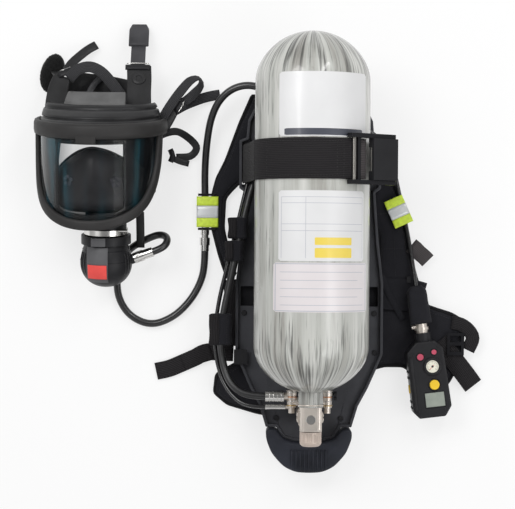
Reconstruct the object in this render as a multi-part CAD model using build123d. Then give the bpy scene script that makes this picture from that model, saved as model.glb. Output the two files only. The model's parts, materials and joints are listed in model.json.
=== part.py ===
from build123d import *
import math
import os

# Self-contained breathing apparatus: carrying plate, harness, gas cylinder, reducer, hoses,
# pressure gauge unit, demand valve and full-face mask. Millimetres. +Z is up off the floor,
# +Y runs towards the domed end of the cylinder, and x = 0 is the cylinder's axis.

# ---------------------------------------------------------------- clearances
RUN_FIT = 0.05          # radial clearance of a shaft in its bore
SLIDE_FIT = 0.1         # clearance of a button or collar in its guide
SOFT_GAP = 0.4          # clearance between curved soft faces

# ---------------------------------------------------------------- gas cylinder
CYL_R = 79.0
CYL_CLEAR = 46.0        # underside of the cylinder above the floor
CYL_Z = CYL_CLEAR + CYL_R
CYL_STRAIGHT_Y0 = -124.0
CYL_STRAIGHT_Y1 = 235.0
CYL_DOME_TOP = 71.0
CYL_DOME_BOTTOM = 66.0
CYL_KNUCKLE_TOP = 58.0
CYL_KNUCKLE_BOTTOM = 54.0
WRAP_T = 6.0
LINER_T = 4.0
NECK_R = 17.0
NECK_LINER_R = 13.0
NECK_BORE_R = 10.5
NECK_Y = -209.0

# ---------------------------------------------------------------- cylinder valve
VALVE_W = 30.0
VALVE_Y0 = NECK_Y
VALVE_LEN = 33.0
VALVE_Y1 = VALVE_Y0 - VALVE_LEN
STUB_R = 11.0
STUB_LEN = 14.0
SPINDLE_R = 4.0
SPINDLE_DEPTH = 16.0
KNOB_R = 15.0
KNOB_LEN = 20.0
KNOB_GAP = 1.0

# ---------------------------------------------------------------- reducer and its coupling
COUPLING_Y = (VALVE_Y0 + VALVE_Y1) / 2
COUPLING_R = 19.0
COUPLING_H = 22.0
STEM_R = 8.0
STEM_FLANGE_R = 10.0
STEM_FLANGE_T = 3.0
REDUCER_R = 18.0
REDUCER_TOP = 72.0
PISTON_R = 11.0
PISTON_H = 12.0
PISTON_TRAVEL = 1.5
POST_X = 25.0
POST_R = 6.5
POST_Y0 = -191.0
POST_Y1 = -223.0
ARM_R = 6.0
SUPPLY_FERRULE_R = 8.2
SUPPLY_FERRULE_LEN = 26.0
SUPPLY_Y = -199.5
GAUGE_FERRULE_R = 3.6
GAUGE_FERRULE_LEN = 28.0
GAUGE_Y = -214.5
FERRULE_X = -62.0
PORT_Z = 66.0

# ---------------------------------------------------------------- carrying plate
PLATE_Z0 = 18.0
PLATE_T = 5.0
PLATE_RIM_T = 4.0
PLATE_RIM_H = 13.0
PLATE_TOP = PLATE_Z0 + PLATE_T
PLATE_HALF = [(0, 216), (52, 216), (80, 208), (89, 190), (91, 166), (101, 162), (101, 94),
              (93, 88), (98, 20), (105, -40), (105, -142), (84, -190), (70, -216), (61, -246),
              (46, -246), (37, -261), (20, -266), (0, -267)]
GRIP_X0 = 68.0
GRIP_X1 = 98.0
GRIP_Y0 = -74.0
GRIP_Y1 = -46.0
BUMPER_HALF = [(61, -246), (61, -260), (53, -281), (36, -300), (19, -308), (0, -309)]
BUMPER_Z0 = 12.0
BUMPER_Z1 = 54.0
BUMPER_RIB_PITCH = 9.0
SADDLE_W = 70.0
SADDLE_LEN = 30.0
SADDLE_YS = (-100.0, 60.0)
SADDLE_SINK = 9.0
RIVET_R = 4.0
RIVET_H = 2.0
RIVET_SPOTS = [(-93, -84), (-94, -140), (94, -140), (93, -84), (-76, 190), (76, 190), (-46, -234),
               (46, -234)]

# ---------------------------------------------------------------- cylinder band and its buckle
BAND_Y = 128.0
BAND_W = 55.0
BAND_T = 2.2
BAND_FOOT_X = CYL_R + 16.0
BAND_SIDE_GAP = 0.6
BAND_SLOT_W = 4.0
BUCKLE_ANGLE = 35.0
BUCKLE_LEN = 72.0
RAIL_W = 6.0
RAIL_H = 11.0
PIN_R = 2.5
PIN_AT = (5.0, 36.0, 66.0)
LEVER_T = 5.0

# ---------------------------------------------------------------- pads and webbing on the floor
PAD_T = 12.0
BACK_PAD_HALF_W = 67.5
BACK_PAD_Y0 = -50.0
BACK_PAD_Y1 = 205.0
WEB_T = 2.5
PATCH_T = 1.2
PATCH_Z = 13.65
RING_WIRE_R = 1.3
PATCH_W = 30.0
PATCH_LEN = 44.0

# ---------------------------------------------------------------- hoses
SUPPLY_D = 10.5
GAUGE_D = 6.0
MASK_HOSE_D = 10.5
COUPLER_R = 6.2
COUPLER_COLLAR_R = 7.4
COUPLER_Y0 = 38.0
COUPLER_Y1 = 4.0
COUPLER_X = -150.0
COUPLER_Z = 8.0
COLLAR_LEN = 11.0
COLLAR_TRAVEL = 4.0

# ---------------------------------------------------------------- pressure gauge unit
UNIT_CENTRE = (170.0, -176.0)
UNIT_TILT = 7.0
UNIT_W = 55.0
UNIT_LEN = 108.0
UNIT_Z0 = 15.6
UNIT_H = 32.0
UNIT_WALL = 3.0
UNIT_FACE = UNIT_Z0 + UNIT_H
DIAL_R = 11.5
BUTTON_R = 7.0
BUTTON_TRAVEL = 2.0

# ---------------------------------------------------------------- demand valve
DV_AT = (-288.0, 36.0, 57.0)
DV_PITCH = 10.0
PORT_R = 29.0
PORT_WALL = 4.0
PORT_DEPTH = 26.0
CLAMP_R = 31.0
CLAMP_W = 8.0
COLLAR_R = 35.0
COLLAR_W = 13.0
DV_R = 36.5
DV_WALL = 3.0
SWIVEL_R = 8.0
SWIVEL_LEN = 14.0
END_FERRULE_LEN = 14.0
RED_W = 27.0
RED_L = 20.0
PUSH_TRAVEL = 3.0
MASK_TRAVEL = 40.0

# ---------------------------------------------------------------- mask
MASK_AT = (-295.0, 96.0, 25.0)
MASK_PITCH = 10.0
MASK_YAW = -8.0
VISOR_A = 86.0
VISOR_B = 88.0
VISOR_T = 2.5
FRAME_T = 4.0
VISOR_CZ = 10.0
FRAME_HALF = [(0, 88), (90.5, 88), (88.5, 45), (83, -5), (74, -22), (56, -38), (30, -45), (0, -47)]
WINDOW_HALF = [(0, 72), (85, 72), (82, 40), (75, 0), (62, -19), (40, -30), (0, -34)]
BLANK_HALF = [(0, -41), (50, -35), (74, -12), (80, 30), (80, 84), (70, 110), (42, 124), (0, 127)]
BLANK_T = 4.0
CUP_HALF = [(0, 61), (16, 55), (46, 33), (62, 5), (52, -24), (0, -30)]
CUP_T = 3.0
STRAP_T = 2.5


# ================================================================ helpers
def block(x0, x1, y0, y1, z0, z1):
    """A box between two corners."""
    solid = Box(x1 - x0, y1 - y0, z1 - z0, align=(Align.MIN, Align.MIN, Align.MIN))
    return Pos(x0, y0, z0) * solid


def rod(p, q, r):
    """A round bar from p to q."""
    p, q = Vector(*p), Vector(*q)
    return Plane(origin=p, z_dir=q - p) * extrude(Circle(r), amount=(q - p).length)


def tube(p, q, r_out, r_in):
    """A round tube from p to q."""
    return rod(p, q, r_out) - rod(p, q, r_in)


def outline(points, r=0.0):
    """A closed flat face through the points, with rounded corners."""
    face = make_face(Polyline(*points, close=True))
    return fillet(face.vertices(), r) if r else face


def mirrored(half):
    """The full outline of a shape from its half at x >= 0, first and last points on the axis."""
    left = [(-x, y) for x, y in reversed(half) if x > 0]
    return list(half) + left


def slab(points, z0, z1, r=0.0):
    """A flat plate of the given outline between two heights."""
    return Pos(0, 0, z0) * extrude(outline(points, r), amount=z1 - z0)


def ribbon(points, side, width, thickness):
    """A flat strap along the points, width across side; side is one vector or one for each point."""
    pts = [Vector(*p) for p in points]
    sides = side if isinstance(side, list) else [side] * len(pts)
    wires = []
    for i, p in enumerate(pts):
        before = pts[max(i - 1, 0)]
        after = pts[min(i + 1, len(pts) - 1)]
        across = Vector(*sides[i]).normalized()
        normal = (after - before).cross(across).normalized()
        a, n = across * (width / 2), normal * (thickness / 2)
        wires.append(Wire.make_polygon([p - a - n, p + a - n, p + a + n, p - a + n], close=True))
    return Solid.make_loft(wires, ruled=True)


def hose(name, points, diameter):
    """A hose as straight runs joined by tangent arcs, each as large as its two runs allow."""
    pts = [Vector(*p) for p in points]
    radii = []
    for a, b, c in zip(pts, pts[1:], pts[2:]):
        turn = math.radians((b - a).get_angle(c - b))
        radii.append(0.45 * min((b - a).length, (c - b).length) / math.tan(turn / 2))
    path = FilletPolyline(*pts, radius=radii)
    solid = sweep(Plane(origin=pts[0], z_dir=pts[1] - pts[0]) * Circle(diameter / 2), path=path)
    print(name, "length", round(path.length), "tightest radius", round(min(radii), 1),
          "radii / diameter", [round(r / diameter, 1) for r in radii],
          "volume ratio", round(solid.volume / (path.length * math.pi * diameter ** 2 / 4), 4))
    return solid


def polar_points(count, r, start=0.0):
    """Points evenly spaced on a circle."""
    angles = [math.radians(start + 360 * i / count) for i in range(count)]
    return [(r * math.cos(a), r * math.sin(a)) for a in angles]


# ================================================================ gas cylinder
def cylinder_solid(inset):
    """The cylinder's domed shape, inset from its outside by the given depth."""
    r = CYL_R - inset
    top = CYL_DOME_TOP - inset
    bottom = CYL_DOME_BOTTOM - inset
    rim = Line((r, CYL_STRAIGHT_Y0), (r, CYL_STRAIGHT_Y1))
    dome = dome_arcs(r, top, CYL_KNUCKLE_TOP - inset, CYL_STRAIGHT_Y1, 1)
    base = dome_arcs(r, bottom, CYL_KNUCKLE_BOTTOM - inset, CYL_STRAIGHT_Y0, -1)
    axis = Line((0, CYL_STRAIGHT_Y0 - bottom), (0, CYL_STRAIGHT_Y1 + top))
    profile = make_face([rim, *dome, *base, axis])
    return Pos(0, 0, CYL_Z) * revolve(profile, Axis.Y)


def dome_arcs(r, height, knuckle, y, way):
    """A domed end as a knuckle arc and a crown arc that meet in line."""
    crown = (r ** 2 + height ** 2 - 2 * r * knuckle) / (2 * (height - knuckle))
    meet = math.degrees(math.atan2(crown - height, r - knuckle))
    shoulder = CenterArc((r - knuckle, y), knuckle, 0, way * meet)
    top = CenterArc((0, y + way * (height - crown)), crown, way * meet, way * (90 - meet))
    return [shoulder, top]


def neck_rod(r):
    return rod((0, CYL_STRAIGHT_Y0, CYL_Z), (0, NECK_Y, CYL_Z), r)


def cylinder_wrap():
    """Carbon-fibre wrap with its resin collar around the neck."""
    return cylinder_solid(0) + neck_rod(NECK_R) - cylinder_solid(WRAP_T) - neck_rod(NECK_LINER_R)


def cylinder_liner():
    """Aluminium liner with the threaded neck."""
    shell = cylinder_solid(WRAP_T) + neck_rod(NECK_LINER_R)
    return shell - cylinder_solid(WRAP_T + LINER_T) - neck_rod(NECK_BORE_R)


# ================================================================ cylinder valve
def valve_body():
    """Brass body screwed into the neck, with the outlet stub that faces the reducer."""
    half = VALVE_W / 2
    body = block(-half, half, VALVE_Y1, VALVE_Y0, CYL_Z - half, CYL_Z + half)
    body = chamfer(body.edges().filter_by(Axis.Y), VALVE_W / 5)
    for sx in (-1, 1):
        body += rod((sx * (half - 4), VALVE_Y0, CYL_Z + half - 5),
                    (sx * (half - 4), VALVE_Y1 + 3, CYL_Z + half - 5), 3.2)
    body += rod((0, VALVE_Y0, CYL_Z), (0, NECK_Y + 24, CYL_Z), NECK_BORE_R)
    body += rod((0, COUPLING_Y, CYL_Z), (0, COUPLING_Y, CYL_Z - half - STUB_LEN), STUB_R)
    return body - rod((0, VALVE_Y1, CYL_Z), (0, VALVE_Y1 + SPINDLE_DEPTH, CYL_Z),
                      SPINDLE_R + RUN_FIT)


def valve_spindle():
    """Spindle that the hand knob turns."""
    return rod((0, VALVE_Y1 + SPINDLE_DEPTH - 0.5, CYL_Z),
               (0, VALVE_Y1 - KNOB_GAP - KNOB_LEN + 6, CYL_Z), SPINDLE_R)


def valve_knob():
    """Round hand knob with grip flutes and a rounded end."""
    y0 = VALVE_Y1 - KNOB_GAP
    knob = rod((0, y0, CYL_Z), (0, y0 - KNOB_LEN, CYL_Z), KNOB_R)
    knob = fillet(knob.edges().group_by(Axis.Y)[0], 6.0)
    for x, z in polar_points(16, KNOB_R + 0.9):
        knob -= rod((x, y0 - 2, CYL_Z + z), (x, y0 - KNOB_LEN + 6, CYL_Z + z), 1.6)
    return knob - rod((0, y0, CYL_Z), (0, y0 - KNOB_LEN + 6, CYL_Z), SPINDLE_R)


# ================================================================ reducer
STUB_END = CYL_Z - VALVE_W / 2 - STUB_LEN


def reducer_body():
    """Pressure reducer: cup on the plate, inlet stem, cross arms and the two outlet posts."""
    body = rod((0, COUPLING_Y, PLATE_TOP), (0, COUPLING_Y, REDUCER_TOP), REDUCER_R)
    body += rod((0, COUPLING_Y, REDUCER_TOP), (0, COUPLING_Y, STUB_END), STEM_R)
    body += rod((0, COUPLING_Y, STUB_END - STEM_FLANGE_T), (0, COUPLING_Y, STUB_END), STEM_FLANGE_R)
    arm_y = (POST_Y0 + POST_Y1) / 2
    body += rod((-POST_X, arm_y, PORT_Z), (POST_X, arm_y, PORT_Z), ARM_R)
    for sx in (-1, 1):
        body += rod((sx * POST_X, POST_Y0, PORT_Z), (sx * POST_X, POST_Y1 + 8, PORT_Z), POST_R)
        body += rod((sx * POST_X, POST_Y0, PORT_Z), (sx * POST_X, POST_Y0 - 7, PORT_Z), POST_R + 1)
        body += rod((sx * POST_X, POST_Y1 + 8, PORT_Z), (sx * POST_X, POST_Y1, PORT_Z), POST_R - 2)
    body += rod((-POST_X, SUPPLY_Y, PORT_Z), (FERRULE_X + SUPPLY_FERRULE_LEN, SUPPLY_Y, PORT_Z), 5)
    body += rod((-POST_X, GAUGE_Y, PORT_Z), (FERRULE_X + GAUGE_FERRULE_LEN, GAUGE_Y, PORT_Z), 2.6)
    return body - rod((0, COUPLING_Y, PLATE_TOP + 4), (0, COUPLING_Y, REDUCER_TOP - 5),
                      PISTON_R + RUN_FIT)


def reducer_piston():
    """Sprung piston inside the reducer."""
    z0 = PLATE_TOP + 20
    return rod((0, COUPLING_Y, z0), (0, COUPLING_Y, z0 + PISTON_H), PISTON_R)


def coupling_nut():
    """Handwheel nut that joins the reducer's stem to the valve's outlet."""
    z0 = STUB_END - STEM_FLANGE_T - 9
    nut = rod((0, COUPLING_Y, z0), (0, COUPLING_Y, z0 + COUPLING_H), COUPLING_R)
    nut = chamfer(nut.edges().filter_by(GeomType.CIRCLE), 1.2)
    for x, y in polar_points(14, COUPLING_R + 1.2):
        nut -= rod((x, COUPLING_Y + y, z0), (x, COUPLING_Y + y, z0 + COUPLING_H), 2.4)
    seat = STUB_END - STEM_FLANGE_T - SLIDE_FIT
    nut -= rod((0, COUPLING_Y, z0), (0, COUPLING_Y, seat), STEM_R + RUN_FIT)
    return nut - rod((0, COUPLING_Y, seat), (0, COUPLING_Y, z0 + COUPLING_H), STUB_R + RUN_FIT)


def safety_valve():
    """Small relief valve with its cap, on the reducer's right post."""
    y = POST_Y0 - 5
    stem = rod((POST_X + POST_R + 1, y, PORT_Z), (POST_X + 13, y, PORT_Z), 2.2)
    return stem + rod((POST_X + 9, y - 6, PORT_Z), (POST_X + 13, y - 6, PORT_Z), 3) + \
        rod((POST_X + 9, y, PORT_Z), (POST_X + 13, y, PORT_Z), 4)


def hose_ferrules():
    """Crimped ferrules on the hoses: supply, gauge and the demand valve's end."""
    supply = rod((FERRULE_X, SUPPLY_Y, PORT_Z),
                 (FERRULE_X + SUPPLY_FERRULE_LEN, SUPPLY_Y, PORT_Z), SUPPLY_FERRULE_R)
    for i in range(3):
        x = FERRULE_X + 4 + 4 * i
        supply -= tube((x, SUPPLY_Y, PORT_Z), (x + 1, SUPPLY_Y, PORT_Z),
                       SUPPLY_FERRULE_R + 1, SUPPLY_FERRULE_R - 0.6)
    gauge = rod((FERRULE_X, GAUGE_Y, PORT_Z),
                (FERRULE_X + GAUGE_FERRULE_LEN, GAUGE_Y, PORT_Z), GAUGE_FERRULE_R)
    end = SWIVEL_FRAME * rod((SWIVEL_END, 0, 0), (SWIVEL_END + END_FERRULE_LEN, 0, 0), SWIVEL_R - 1)
    end -= mask_hose()
    return Compound(children=[supply, gauge, end])


# ================================================================ carrying plate
def backplate():
    """Moulded plate with a raised rim, hand grips and slots for the cylinder band."""
    points = mirrored(PLATE_HALF)
    face = outline(points)
    plate = Pos(0, 0, PLATE_Z0) * extrude(face, amount=PLATE_RIM_H)
    inner = offset(face, amount=-PLATE_RIM_T)
    plate -= Pos(0, 0, PLATE_TOP) * extrude(inner, amount=PLATE_RIM_H)
    for sx in (-1, 1):
        xs = sorted((sx * GRIP_X0, sx * GRIP_X1))
        plate -= block(xs[0], xs[1], GRIP_Y0, GRIP_Y1, 0, 60)
        foot = sx * BAND_FOOT_X
        plate -= block(foot - BAND_SLOT_W / 2, foot + BAND_SLOT_W / 2,
                       BAND_Y - BAND_W / 2 - 1, BAND_Y + BAND_W / 2 + 1, 0, 60)
    for y in (-170, -20, 140):
        rib = block(-60, 60, y - 2, y + 2, PLATE_TOP, PLATE_TOP + 5)
        plate += rib
    return plate - rod((0, COUPLING_Y, PLATE_TOP), (0, COUPLING_Y, 60), REDUCER_R)


def bumper():
    """Rubber foot around the lower end of the plate, ribbed across its middle."""
    inner = [p for p in PLATE_HALF if p[1] <= BUMPER_HALF[0][1] and p[0] < BUMPER_HALF[0][0]]
    half = BUMPER_HALF + [(-x, y) for x, y in reversed(BUMPER_HALF) if x > 0]
    back = [(-x, y) for x, y in inner] + [(x, y) for x, y in reversed(inner) if x > 0]
    solid = slab(half + back, BUMPER_Z0, BUMPER_Z1)
    for i in range(-2, 3):
        x = i * BUMPER_RIB_PITCH
        solid -= block(x - 1, x + 1, -320, -272, BUMPER_Z1 - 2, BUMPER_Z1)
    return solid


def saddle_pads():
    """Rubber blocks, hollowed to the cylinder, that carry it on the plate."""
    pads = []
    tool = cylinder_solid(0)
    for y in SADDLE_YS:
        pad = block(-SADDLE_W / 2, SADDLE_W / 2, y - SADDLE_LEN / 2, y + SADDLE_LEN / 2,
                    PLATE_TOP, CYL_Z - CYL_R + SADDLE_SINK)
        pads.append(pad - tool)
    return Compound(children=pads)


def plate_rivets():
    """Rivets that hold the webbing and the foot to the plate."""
    rivets = []
    for x, y in RIVET_SPOTS:
        base = rod((x, y, PLATE_TOP), (x, y, PLATE_TOP + RIVET_H), RIVET_R)
        rivets.append(fillet(base.edges().group_by(Axis.Z)[-1], 0.9))
    return Compound(children=rivets)


# ================================================================ cylinder band
def band_section(points, t):
    """A band of the given centre line in the XZ plane, across the band's width."""
    return ribbon([(x, BAND_Y, z) for x, z in points], (0, 1, 0), BAND_W, t)


def arc_points(r, a0, a1, count):
    """Points around the cylinder, angles from its top towards +X, in degrees."""
    steps = [math.radians(a0 + (a1 - a0) * i / count) for i in range(count + 1)]
    return [(r * math.sin(a), CYL_Z + r * math.cos(a)) for a in steps]


def buckle_point(u, n):
    """A point of the buckle: u along it from its inner end, n outwards from the cylinder."""
    a = math.radians(BUCKLE_ANGLE)
    x0, z0 = CYL_R * math.sin(a), CYL_Z + CYL_R * math.cos(a)
    x = x0 + u * math.cos(a) + n * math.sin(a)
    return x, z0 - u * math.sin(a) + n * math.cos(a)


def band_strap():
    """Webbing from the plate's left slot over the cylinder to the buckle."""
    r = CYL_R + BAND_T / 2 + SOFT_GAP
    foot = [(-BAND_FOOT_X, PLATE_Z0 + 1), (-BAND_FOOT_X, PLATE_TOP + 6), (-r - 4, CYL_Z - 30)]
    over = arc_points(r, -88, BUCKLE_ANGLE - 3, 30)
    end = buckle_point(PIN_AT[0] - PIN_R - 0.3, BAND_T / 2 + SOFT_GAP)
    return band_section(foot + over + [end], BAND_T)


def band_tail():
    """Webbing from the buckle's outer pin down to the plate's right slot."""
    top = buckle_point(PIN_AT[2] + PIN_R + 1.5, 5)
    return band_section([top, (top[0] + 1, top[1] - 20), (BAND_FOOT_X, PLATE_TOP + 12),
                         (BAND_FOOT_X, PLATE_Z0 + 1)], BAND_T)


def buckle_bar(u0, u1, n0, n1, y0, y1):
    """A bar of rectangular section in the buckle's own frame."""
    x0, z0 = buckle_point((u0 + u1) / 2, (n0 + n1) / 2)
    bar = Box(u1 - u0, y1 - y0, n1 - n0)
    return Pos(x0, (y0 + y1) / 2, z0) * Rot(0, BUCKLE_ANGLE, 0) * bar


def buckle_pin(u, r, y0, y1):
    x, z = buckle_point(u, 7.0)
    return rod((x, y0, z), (x, y1, z), r)


def buckle_frame():
    """Two side rails joined by an inner plate."""
    y_in = BAND_Y - BAND_W / 2 - BAND_SIDE_GAP
    y_out = BAND_Y + BAND_W / 2 + BAND_SIDE_GAP
    frame = buckle_bar(-3, BUCKLE_LEN, 2, 2 + RAIL_H, y_in - RAIL_W, y_in)
    frame += buckle_bar(-3, BUCKLE_LEN, 2, 2 + RAIL_H, y_out, y_out + RAIL_W)
    frame += buckle_bar(10, 15, 2.5, 9, y_in, y_out)
    for u in PIN_AT:
        frame -= buckle_pin(u, PIN_R, y_in - RAIL_W, y_out + RAIL_W)
    return frame


def buckle_pins():
    """Three cross pins: strap, lever hinge and tail."""
    y_in = BAND_Y - BAND_W / 2 - BAND_SIDE_GAP - RAIL_W
    y_out = BAND_Y + BAND_W / 2 + BAND_SIDE_GAP + RAIL_W
    return Compound(children=[buckle_pin(u, PIN_R, y_in, y_out) for u in PIN_AT])


def band_lever():
    """Over-centre lever that tightens the band and swings open on the middle pin."""
    y0 = BAND_Y - BAND_W / 2 - BAND_SIDE_GAP + SLIDE_FIT
    y1 = BAND_Y + BAND_W / 2 + BAND_SIDE_GAP - SLIDE_FIT
    lever = buckle_bar(PIN_AT[1] - 4, BUCKLE_LEN + 2, 10.5, 10.5 + LEVER_T, y0, y1)
    lever += buckle_bar(PIN_AT[1] - 4, PIN_AT[1] + 4, 4, 11, y0, y0 + 12)
    lever += buckle_bar(PIN_AT[1] - 4, PIN_AT[1] + 4, 4, 11, y1 - 12, y1)
    return lever - buckle_pin(PIN_AT[1], PIN_R + RUN_FIT, y0 - 1, y1 + 1)


# ================================================================ pads and webbing
SHOULDER_LEFT = [(-68, 224), (-84, 231), (-102, 190), (-122, 135), (-135, 109), (-141, 86),
                 (-141, 36), (-131, -2), (-119, -37), (-104, -32), (-109, -8), (-114, 2),
                 (-122, 37), (-120, 79), (-112, 89), (-94, 107), (-84, 150), (-68, 165)]
SHOULDER_RIGHT = [(68, 160), (80, 90), (87, 44), (96, 32), (97, 3), (97, -35), (106, -59),
                  (118, -64), (165, -58), (156, -33), (146, 6), (140, 36), (128, 86), (112, 132),
                  (90, 165), (76, 206), (68, 212)]
HIP_LOBES = [(-60, -75), (-95, -150), (-134, -172), (-137, -200), (-117, -217), (-76, -229),
             (-40, -236), (30, -232), (62, -205), (92, -166), (109, -161), (136, -161),
             (150, -172), (200, -188), (222, -150), (224, -108), (219, -90), (205, -82),
             (182, -75), (168, -70), (120, -74), (60, -75)]
HIP_CORE = [(-60, -78), (-84, -150), (-70, -200), (-50, -228), (40, -228), (66, -196), (84, -150),
            (60, -78)]


def back_pad():
    """Foam pad under the plate, flat on the floor."""
    pad = block(-BACK_PAD_HALF_W, BACK_PAD_HALF_W, BACK_PAD_Y0, BACK_PAD_Y1, 0, PLATE_Z0)
    return fillet(pad.edges().filter_by(Axis.Z), 14)


def hip_pads():
    """Padded hip belt across the plate's lower end."""
    return slab(HIP_LOBES, 0, PAD_T, 5) + slab(HIP_CORE, 0, PLATE_Z0)


def shoulder_pads():
    """The two padded shoulder straps."""
    left = slab(SHOULDER_LEFT, 0, PAD_T, 2)
    right = slab(SHOULDER_RIGHT, 0, PAD_T, 2)
    return Compound(children=[left, right])


def shoulder_straps():
    """Webbing that runs on from the pads to the belt, and the right pull tab."""
    left = ribbon([(-112, -37.1, 2), (-108, -80, 2), (-102.6, -132.3, 2)], (1, 0, 0), 24, WEB_T)
    right = ribbon([(150, 20, 13.4), (164, 4, 13.4), (178, -14, 13.4)], (0.7, 0.7, 0), 26, WEB_T)
    return Compound(children=[left, right])


def strap_clips():
    """Bracket at the left strap's lower end, and the clip above the gauge unit's boot."""
    bracket = block(-107, -88, -157, -136, PLATE_TOP + 8.5, PLATE_TOP + 12)
    clip = block(140, 146, -40, -31, PAD_T, PAD_T + 6)
    return Compound(children=[bracket, clip])


def reflective_patches():
    """Reflective loops that hold the hoses on the shoulder straps."""
    left = block(-162, -131, 38, 82, PATCH_Z, PATCH_Z + PATCH_T)
    right = Pos(127, 62, 21.6) * Rot(0, 0, 24) * Box(PATCH_W - 2, PATCH_LEN - 3, PATCH_T)
    return Compound(children=[left, right])


def belt_left():
    """Waist belt's free end on the left."""
    points = [(-222, -181), (-218, -156), (-182, -147), (-146, -131), (-112, -133), (-100, -152.2),
              (-142, -150), (-160, -164), (-180, -168), (-217, -184)]
    return slab(points, 0.5, 0.5 + WEB_T)


def belt_right():
    """Waist belt's adjuster loop and free end on the right."""
    tail = ribbon([(186, -124, 14), (205, -146, 14), (224, -170, 14), (237, -187, 6)],
                  (0.74, 0.67, 0), 29, WEB_T)
    loop = ribbon([(205, -96, 14), (226, -104, 14), (236, -116, 14), (228, -136, 14)],
                  [(0, 1, 0), (0.3, 1, 0), (1, 0.2, 0), (1, -0.3, 0)], 20, WEB_T)
    return Compound(children=[tail, loop])


def belt_buckle():
    """Ladder-lock buckle on the belt."""
    outer = block(198, 222, -143, -111, 15.65, 19.2)
    return outer - block(202, 218, -124, -115, 10, 30) - block(202, 218, -138, -129, 10, 30)


# ================================================================ hoses
SUPPLY_ROUTE = [(FERRULE_X, SUPPLY_Y, PORT_Z), (-88, SUPPLY_Y, PORT_Z), (-110, -185, 61), (-121, -160, 54),
                (-126, -130, 50), (-124, -95, 48), (-114, -45, 48), (-102, 10, 48),
                (-92, 60, 48), (-80, 105, 48), (-63, 142, 47), (-49, 172, 46), (-47, 203, 45),
                (-59, 228, 45), (-82, 240, 44), (-108, 237, 40), (-129, 221, 34), (-142, 195, 26),
                (-148, 160, 17), (-151, 118, 10), (COUPLER_X, 76, COUPLER_Z),
                (COUPLER_X, COUPLER_Y0, COUPLER_Z)]
GAUGE_ROUTE = [(FERRULE_X, GAUGE_Y, PORT_Z), (-88, GAUGE_Y, PORT_Z), (-110, -199, 57), (-125, -174, 48),
               (-133, -142, 43), (-134, -105, 40), (-128, -62, 38), (-117, -18, 37),
               (-107, 25, 36), (-97, 68, 35.5), (-87, 110, 35), (-76, 150, 34), (-57, 181, 33),
               (-26, 199, 32), (10, 203, 32), (44, 196, 32), (70, 183, 35), (93, 170, 38),
               (110, 150, 34), (120, 122, 24), (127, 92, 17.5), (135, 58, 16), (142, 22, 18),
               (147.2, -9.5, 20.5), (152, -44, 26)]
MASK_ROUTE = [(COUPLER_X, COUPLER_Y1, COUPLER_Z), (COUPLER_X, -20, COUPLER_Z), (-157, -45, 6),
              (-172, -70, 6), (-195, -92, 6), (-226, -104, 6), (-256, -92, 6), (-273, -68, 6),
              (-277, -40, 6), (-272, -12, 6.5), (-259, 5, 10), (-244, 15, 17), (-228, 22.4, 24.5),
              (-215, 27, 25.3), (-204, 24.5, 33.6), (-201.7, 16.1, 44.6), (-208.9, 7.0, 51.9)]


def supply_hose():
    return hose("supply_hose", SUPPLY_ROUTE, SUPPLY_D)


def gauge_hose():
    return hose("gauge_hose", GAUGE_ROUTE, GAUGE_D)


def mask_hose():
    return hose("mask_hose", MASK_ROUTE + [mask_hose_end()], MASK_HOSE_D)


def mask_hose_end():
    """Where the demand valve's ferrule meets the hose."""
    return tuple((SWIVEL_FRAME * Pos(SWIVEL_END + END_FERRULE_LEN, 0, 0)).position)


def sleeve_blocks():
    """Fabric sleeves, closed with hook-and-loop, that hold the hoses on the plate's left edge."""
    sleeves = []
    for x0, x1, y0, y1 in ((-117, -88, 21, 52), (-121, -93, -11, 19), (-143, -109, -130, -84)):
        outer = fillet(block(x0, x1, y0, y1, 31.5, 56.5).edges().filter_by(Axis.Y), 8)
        sleeves.append(outer)
    return sleeves


def hose_sleeves():
    tools = supply_hose() + gauge_hose()
    return Compound(children=[s - tools for s in sleeve_blocks()])


def coupler_body():
    """Quick coupling's body between the supply hose and the demand valve's hose."""
    body = rod((COUPLER_X, COUPLER_Y0, COUPLER_Z), (COUPLER_X, COUPLER_Y1, COUPLER_Z), COUPLER_R)
    y = COUPLER_Y1 + 8
    groove = tube((COUPLER_X, y, COUPLER_Z), (COUPLER_X, y + COLLAR_LEN + COLLAR_TRAVEL, COUPLER_Z),
                  COUPLER_R + 1, COUPLER_R - 1)
    return body - groove


def coupler_collar():
    """Sprung collar that releases the coupling."""
    y = COUPLER_Y1 + 8
    return tube((COUPLER_X, y, COUPLER_Z), (COUPLER_X, y + COLLAR_LEN, COUPLER_Z),
                COUPLER_COLLAR_R, COUPLER_R - 1 + SLIDE_FIT)


# ================================================================ pressure gauge unit
UNIT_FRAME = Location((UNIT_CENTRE[0], UNIT_CENTRE[1], 0), (0, 0, UNIT_TILT))
FRONT_BUTTON_AT = (6.5, -8.0)
SIDE_BUTTON_AT = (-12.0, 28.0)
DIAL_AT = (6.5, 18.0)
LCD_AT = (5.0, -29.0)
LCD_SIZE = (27.0, 20.0)
LAMP_SPOTS = ((-9.0, 33.0, 4.5), (11.0, 38.0, 3.5))


def unit_rod(at, z0, z1, r):
    return rod((at[0], at[1], z0), (at[0], at[1], z1), r)


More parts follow.
